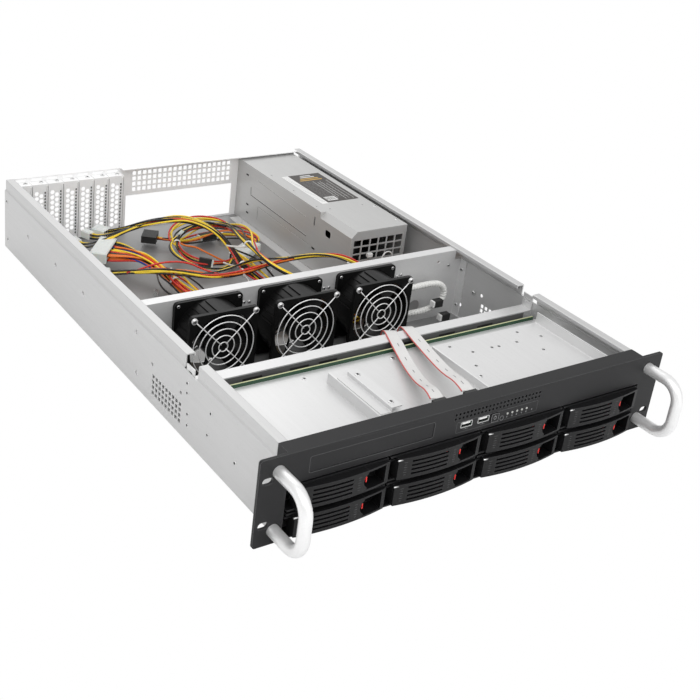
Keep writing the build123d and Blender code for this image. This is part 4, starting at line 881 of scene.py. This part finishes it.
def wall_screws():
    """Screws and rivets of the side walls, and screws at the fans' corners and tops."""
    sides = [(172, 62), (171, 52), (168, 30.6), (167, 18.8), (125.7, 55), (129, 30.4), (78.7, 30.8),
             (643, 62.7), (638, 14.5)]
    places = [(spot(sx * 215.0, y, z), (sx, 0, 0), 0.0021) for y, z in sides for sx in (-1, 1)]
    studs("wall_screws", places, STEEL, hole_shade_share=0.62)
    places = []
    for i in range(3):
        for sx in (-1, 1):
            for sz in (-1, 1):
                corner = spot(fan_x(i) + sx * FAN_SCREW, 248.4, FAN_Z + sz * FAN_SCREW)
                places.append((corner, (0, -1, 0), 0.0029))
        for sx in (-1, 1):
            places.append((spot(fan_x(i) + sx * FAN_SCREW, 283.6, FAN_Z + FAN_SCREW), (0, -1, 0), 0.0020))
    studs("fan_screws", places, STEEL, hole_shade_share=0.40)


def supply_label():
    """Label on the power supply: a dark field with fine pale rows, amber bars and a pale box,
    and a pale strip beside it."""
    top = SUPPLY_TOP + 0.15
    over = top + 0.12
    grids = [(bar((165.5, 518.5, top), (48.0, 96.0, 0.2)), 0)]
    grids.append((bar((136.0, 517.0, top), (9.5, 98.0, 0.2)), 1))
    rng = np.random.default_rng(3)
    for k in range(13):
        y, x = 490.0 + k * 4.4, 145.0
        while x < 160.0:
            width = rng.uniform(2.0, 6.0)
            grids.append(mark((x + width / 2, y, over), (width, 0.7, 0.1), 4))
            x += width + rng.uniform(1.0, 2.5)
    columns = ((163.5, 480.0, 540.0), (168.5, 486.0, 536.0), (173.0, 474.0, 538.0), (178.5, 476.0, 530.0),
               (184.5, 474.0, 540.0))
    grids += [mark((x, (y0 + y1) / 2, over), (0.55, y1 - y0, 0.1), 3) for x, y0, y1 in columns]
    for k in range(40):
        grids.append(mark((166.0 + 4.6 * (k % 5), 484.0 + 6.5 * (k // 5), over), (2.6, 0.8, 0.1), 4))
    grids.append(mark((153.0, 481.0, over), (16.0, 12.0, 0.1), 1))
    grids += [mark((146.0 + 2.1 * k, 481.0, over + 0.1), (0.9, 9.0, 0.1), 0) for k in range(7)]
    for k in range(4):
        grids.append(mark((165.0, 546.0 + 5.0 * k, over), (34.0 - 6.0 * k, 2.6, 0.1), 2 if k < 2 else 3))
    grids += [mark((136.0, 474.0 + 4.2 * k, over), (6.5, 0.5, 0.1), 4) for k in range(22)]
    piece("supply_label", grids, [LABEL, PALE, GOLD, INK, GREY_INK], smooth=False)


def front_details():
    """Front plate: outline of the blank in painted shade with a painted highlight just outside, ring round
    the controls, port shells with painted shade inside, lights and small marks.
    """
    blank = (-125.0, 0.0, 71.25)
    grids = [
        # Round the blank: painted shade in the groove, then a painted highlight on the cut-out's edge
        (frame_line(blank, 132.6, 15.1, 1.6, 0.8, 0.12), 0),
        (frame_line(blank, 134.0, 16.5, 2.2, 0.35, 0.14), 1),
        (frame_line((18.9, 0.0, 66.1), 100.7, 11.4, 1.4, 0.32, 0.12), 1),
    ]
    for x in (-20.0, 0.5):
        grids.append((frame_line((x, -0.05, 68), 13.2, 5.5, 0.5, 0.55, 0.8), 2))
        grids.append((bar((x, 0.8, 69.0), (9.4, 1.4, 1.7)), 3))
        # Painted shade inside the port
        grids.append((bar((x, 3.0, 65.75), (12.3, 5.2, 0.3)), 0))
        for off, width, height in ((-2.2, 1.4, 0.35), (0.0, 1.2, 0.9), (2.2, 1.4, 0.35)):
            grids.append(mark((x + off, -0.04, 63.0), (width, 0.1, height), 4))
    lens = [(0.00125, 0), (0.0011, 0.0003), (0.0004, 0.0005)]
    for i in range(5):
        x = 31.0 + 6.1 * i
        grids.append((revolve(spot(x, -0.02, 66.5), (0, -1, 0), lens, 12), 5))
        grids.append(mark((x, -0.04, 63.4), (1.7, 0.1, 0.5), 4))
        grids.append(mark((x + 0.5 * (i % 2), -0.04, 62.4), (0.6 + 0.5 * (i % 3), 0.1, 0.8), 4))
    grids.append(mark((62.6, -0.04, 63.6), (1.1, 0.1, 1.3), 4))
    grids.append((frame_line((24.5, -0.02, 63.1), 4.6, 4.6, 2.29, 0.35, 0.12), 4))
    piece("front_marks", grids, [RECESS_SHADE, FAINT_MARK_AND_HIGHLIGHT, STEEL, PALE, GREY_INK, LENS], smooth=False)
    cap = (14.5, -1.2, 66.5)
    grids = [
        (frame_line(cap, 8.6, 8.6, 0.9, 0.35, 0.1), 0),
        (frame_line(cap, 3.2, 3.2, 1.59, 0.5, 0.1), 0),
        mark((14.5, -1.21, 68.3), (0.5, 0.1, 1.6), 0),
    ]
    piece("power_marks", grids, [GREY_INK], "power_button", False)


# Bowed front of a lever, in millimetres: y = LEVER_Y - LEVER_BOW (1 - ((x - LEVER_MID) / LEVER_HALF) squared)
LEVER_Y, LEVER_BOW, LEVER_MID, LEVER_HALF = -3.6, 4.9, 53.0, 51.6


def tray_details():
    """Each lever: a bright pin at its upper left, and rows of short pressed ticks beside its louvres.
    Each latch: a thin red edge in the lever's slot."""
    for i in range(8):
        x0, z0 = (i % 4 - 2) * BAY_W, BAY_Z0 + (i // 4) * BAY_H
        ends = np.array([spot(x0 + 6.4, -5.0, z0 + 23.0), spot(x0 + 11.6, -5.0, z0 + 22.8)])
        piece(f"lever_pin_{i + 1}", [(sweep(ends, circle(0.00075, 10)), 0)], [STEEL], f"lever_{i + 1}")
        grids = []
        for k in range(6):
            z = z0 + 13.1 + (k - 2.5) * 2.6
            width = 3.4 if k % 2 else 2.2
            for off in (15.5, 70.0):
                y = LEVER_Y - LEVER_BOW * (1 - ((off - LEVER_MID) / LEVER_HALF) ** 2)
                slope = 2 * LEVER_BOW * (off - LEVER_MID) / LEVER_HALF ** 2
                axes = np.array(((1, slope, 0), (-slope, 1, 0), (0, 0, 1))) / math.hypot(1, slope)
                axes[2] = (0, 0, 1)
                grids.append((bar((x0 + off, y - 0.02, z), (width, 0.12, 0.34), axes, 0.02), 0))
        piece(f"lever_ticks_{i + 1}", grids, [FAINT_MARK_AND_HIGHLIGHT], f"lever_{i + 1}", False)
        sliver = bar((x0 + 78.2, -6.05, z0 + 14.4), (1.2, 0.9, 5.8), bevel=0.3)
        piece(f"latch_edge_{i + 1}", [(sliver, 0)], [RED], f"latch_{i + 1}")


def guards():
    """Finger guards: five round wire rings on four crossed wires, with an eye under each corner screw."""
    grids = []
    back = np.array((0.0, 1.0, 0.0))
    wire = circle(GUARD_WIRE, 6)
    for i in range(3):
        cx = fan_x(i)
        for k in range(5):
            turn = np.arange(56) * 2 * np.pi / 56
            radius = GUARD_BORE * (k + 0.7) / 5
            ring = [spot(cx + radius * math.cos(a), 249.3, FAN_Z + radius * math.sin(a)) for a in turn]
            ring = np.array(ring)
            out = (ring - spot(cx, 249.3, FAN_Z)) * 1000 / radius
            rows = ring[:, None] + out[:, None] * wire[None, :, :1] + back * wire[None, :, 1:]
            grids.append(((rows[:, ::-1], True), 0))
        for k in range(4):
            a = math.radians(45 + 90 * k)
            c, s = math.cos(a), math.sin(a)
            arm = np.array([spot(cx + r * c, 249.0, FAN_Z + r * s) for r in np.linspace(4.0, 48.0, 6)])
            grids.append((sweep(arm, wire, start=tuple(back)), 0))
            eye = spot(cx + GUARD_EYE * c, 250.0, FAN_Z + GUARD_EYE * s)
            grids.append((revolve(eye, (0, -1, 0), [(0.0034, 0), (0.0034, 0.0016)], 20), 0))
    made = piece("guard_wires", grids, [GUARD])
    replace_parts(made, "fan_guards")


def slot_details():
    """Card slots: at each cover's fold a slit in painted shade, a fold strip in the painted-lit zinc and a
    column of small slots in painted shade, and a screw on its tab.
    """
    grids = []
    for i in range(7):
        x = SLOT_X0 + SLOT_PITCH * i
        # Painted shade in the fold's slit, and a painted-lit strip along the fold
        grids.append((bar((x + 9.75, 636.2, 43.0), (0.7, 0.3, 74.0)), 0))
        grids.append((bar((x + 8.5, 636.0, 43.0), (1.4, 1.4, 74.0)), 1))
        for k in range(15 if i else 0):
            grids.append((bar((x + 6.5, 636.5, 12.0 + 4.2 * k), (1.5, 0.3, 2.3), bevel=0.1), 2))
    piece("slot_lines", grids, [SHADE, ZINC_PAINTED_LIT, RECESS_SHADE], smooth=False)
    screws = [(spot(SLOT_X0 + SLOT_PITCH * i + 4.0, 643.5, 82.3), (0, 0, 1), 0.0028) for i in range(7)]
    studs("slot_screws", screws, STEEL)


def cage_details():
    """Drive cage and brackets: screws, the board's pale edge, and painted shade over the brace's web with
    painted shade in its slots.
    """
    screws = (
        ((-71.7, 101.9, 76.5), 0.0029), ((-71.7, 48.7, 76.5), 0.0029), ((0.2, 138.8, 59.6), 0.0029),
        ((-106.3, 139.1, 59.6), 0.0022), ((51.7, 63.0, 68.0), 0.0024),
    )
    studs("cage_screws", [(spot(*place), (0, 0, 1), radius) for place, radius in screws], STEEL, hole_shade_share=0.40)
    grids = [(bar((0, 150.8, 63.6), (409.0, 1.5, 0.25)), 0)]
    # Painted shade: a dark sheet over the brace's web and dark bars in its slots
    grids.append((bar((0, 163.0, 56.5), (405.0, 0.2, 12.5)), 3))
    for x in (-150, -96, -62, 40, 92, 146):
        grids.append((bar((x, 162.85, 57.5), (22.0, 0.2, 3.0)), 1))
    piece("board_edge_and_brace_shade", grids, [TAN, DARK_PARTS_AND_SLOT_SHADE, BLACK_PLASTIC, DIM], smooth=False)


def wall_details():
    """Fan wall: bright studs in pairs between the fans, the screws of its end flange and its gap in painted
    shade, two black plugs with milky ends beside the third fan, and a clip with a wire loop on the supply."""
    pairs = [(-87.8, 69.4), (-81.1, 68.8), (14.6, 68.1), (21.1, 68.1), (116.8, 65.6), (122.8, 66.9),
             (193.6, 68.2)]
    studs("fan_wall_studs", [(spot(x, 287.0, z), (0, -1, 0), 0.0020) for x, z in pairs], STEEL)
    flange = ((283.5, 61.2), (282.6, 14.7), (256.9, 42.3))
    studs("flange_screws", [(spot(212.4, y, z), (-1, 0, 0), 0.0026) for y, z in flange], STEEL)
    # Painted shade in the flange's gap
    grids = [(bar((212.5, 289.0, 38.0), (0.4, 1.0, 72.0)), 0)]
    for x, z in ((162.5, 35.5), (177.1, 15.2)):
        grids.append((bar((x, 262.0, z), (12.0, 8.0, 9.0), bevel=0.6), 1))
        grids.append((bar((x - 7.0, 262.0, z), (3.0, 7.0, 7.5), bevel=0.5), 2))
    grids.append((bar((141.5, 373.0, 52.5), (7.0, 5.0, 5.0), bevel=0.5), 2))
    turn = np.linspace(-0.3, np.pi + 0.3, 16)
    loop = np.array([spot(168.0 + 8.0 * math.cos(a), 371.0, 45.0 + 9.0 * math.sin(a)) for a in turn])
    grids.append((sweep(loop, circle(0.0008, 6), start=(0.0, 1.0, 0.0)), 2))
    piece("wall_parts", grids, [RECESS_SHADE, SOCKET, PALE], smooth=False)


def fan_details():
    """Fans: seven ribs over each shroud, 11 degrees apart, between the flanges."""
    grids = []
    along = np.array((0.0, 1.0, 0.0))
    for i in range(3):
        for k in range(7):
            turn = math.radians(100 + 11 * k)
            out = np.array((math.cos(turn), 0.0, math.sin(turn)))
            centre = spot(fan_x(i), 268.5, FAN_Z) + out * 0.0402
            axes = (np.cross(along, out), along, out)
            grids.append((brick(centre, (0.0008, 0.0240, 0.0016), axes, 0.0002), 0))
    piece("fan_ribs", grids, [FAN_BLACK], smooth=False)


def supply_details():
    """Power supply: pressed lines on its left side drawn as painted shade with painted highlight beside them,
    slots and a seam in painted shade, dimples and screws on its top.
    """
    grids = []

    def line(y0, z0, y1, z1, slot, thick):
        """Thin block from one point to another on the supply's left side."""
        span = math.hypot(y1 - y0, z1 - z0)
        along = np.array((0.0, (y1 - y0) / span, (z1 - z0) / span))
        axes = (along, np.cross((-1.0, 0.0, 0.0), along), (-1.0, 0.0, 0.0))
        middle = (SUPPLY_SIDE, (y0 + y1) / 2, (z0 + z1) / 2)
        grids.append((bar(middle, (span, thick, 0.12), axes, 0.02), slot))

    # Painted shade and painted highlight along the pressed lines; painted shade in the slots and the seam at
    # the bottom
    line(610.4, 44.2, 471.6, 41.0, 2, 0.9)
    line(610.4, 45.1, 471.6, 41.9, 1, 0.4)
    line(611.6, 55.2, 610.4, 44.2, 2, 0.8)
    line(596.0, 70.2, 476.7, 64.9, 0, 0.5)
    line(596.0, 70.7, 476.7, 65.4, 1, 0.4)
    line(590.0, 34.7, 463.6, 32.4, 0, 0.5)
    line(590.0, 16.7, 590.0, 34.7, 0, 0.5)
    line(590.0, 34.2, 463.6, 31.9, 1, 0.4)
    for y, z in ((623.0, 69.0), (617.3, 28.2), (616.0, 16.6)):
        line(y - 3.0, z, y + 3.0, z, 2, 2.2)
    line(536.0, 1.9, 380.0, 1.9, 2, 0.8)
    piece("supply_lines", grids, [SHADE, GLOW, RECESS_SHADE], smooth=False)
    tops = [(121.2, 575.1), (120.0, 518.7), (118.4, 462.0), (130.8, 450.5), (180.4, 449.6)]
    studs("supply_dimples", [(spot(x, y, SUPPLY_TOP), (0, 0, 1), 0.0017) for x, y in tops], DULL)
    screws = [(194.0, 441.1), (193.9, 394.3)]
    studs("supply_screws", [(spot(x, y, SUPPLY_TOP), (0, 0, 1), 0.0022) for x, y in screws], STEEL)


def seat_lines():
    """Floor of the main board room: a shaded and a lit line at the seam beside the supply."""
    grids = [(bar((100.5, 470.0, 1.25), (0.8, 300.0, 0.12)), 0)]
    grids.append((bar((102.0, 470.0, 1.25), (0.6, 300.0, 0.14)), 1))
    piece("floor_lines", grids, [SHADE, GLOW], smooth=False)


camera()
plugs = {name: housing(name, *facts) for name, facts in PLUGS.items()}
lines = {name: read_route(name, ROUTES[name]) for name in BUNDLES}
board, processor, drives, storage, loop = lines.values()
bundle("harness_board", 1, board, [plugs["plug_board"], board_fan(board)])
bundle("harness_processor", 2, processor, [plugs["plug_processor"], side_plugs(processor)])
bundle("harness_drives", 3, drives, [plugs["plug_drives"]])
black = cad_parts["plugs_black"]
bundle("harness_storage", 4, storage, [black, inline("storage_plugs", storage, STORAGE_PLUGS)])
bundle("harness_loop", 5, loop, [plugs["plug_loop"], inline("loop_plugs", loop, LOOP_PLUGS)])
ribbon("ribbon_left")
ribbon("ribbon_right")
fan_lead()
dress_cad()
wall_screws()
supply_label()
front_details()
tray_details()
slot_details()
cage_details()
wall_details()
guards()
fan_details()
supply_details()
seat_lines()
studio()
bpy.context.scene.view_settings.view_transform = "Standard"
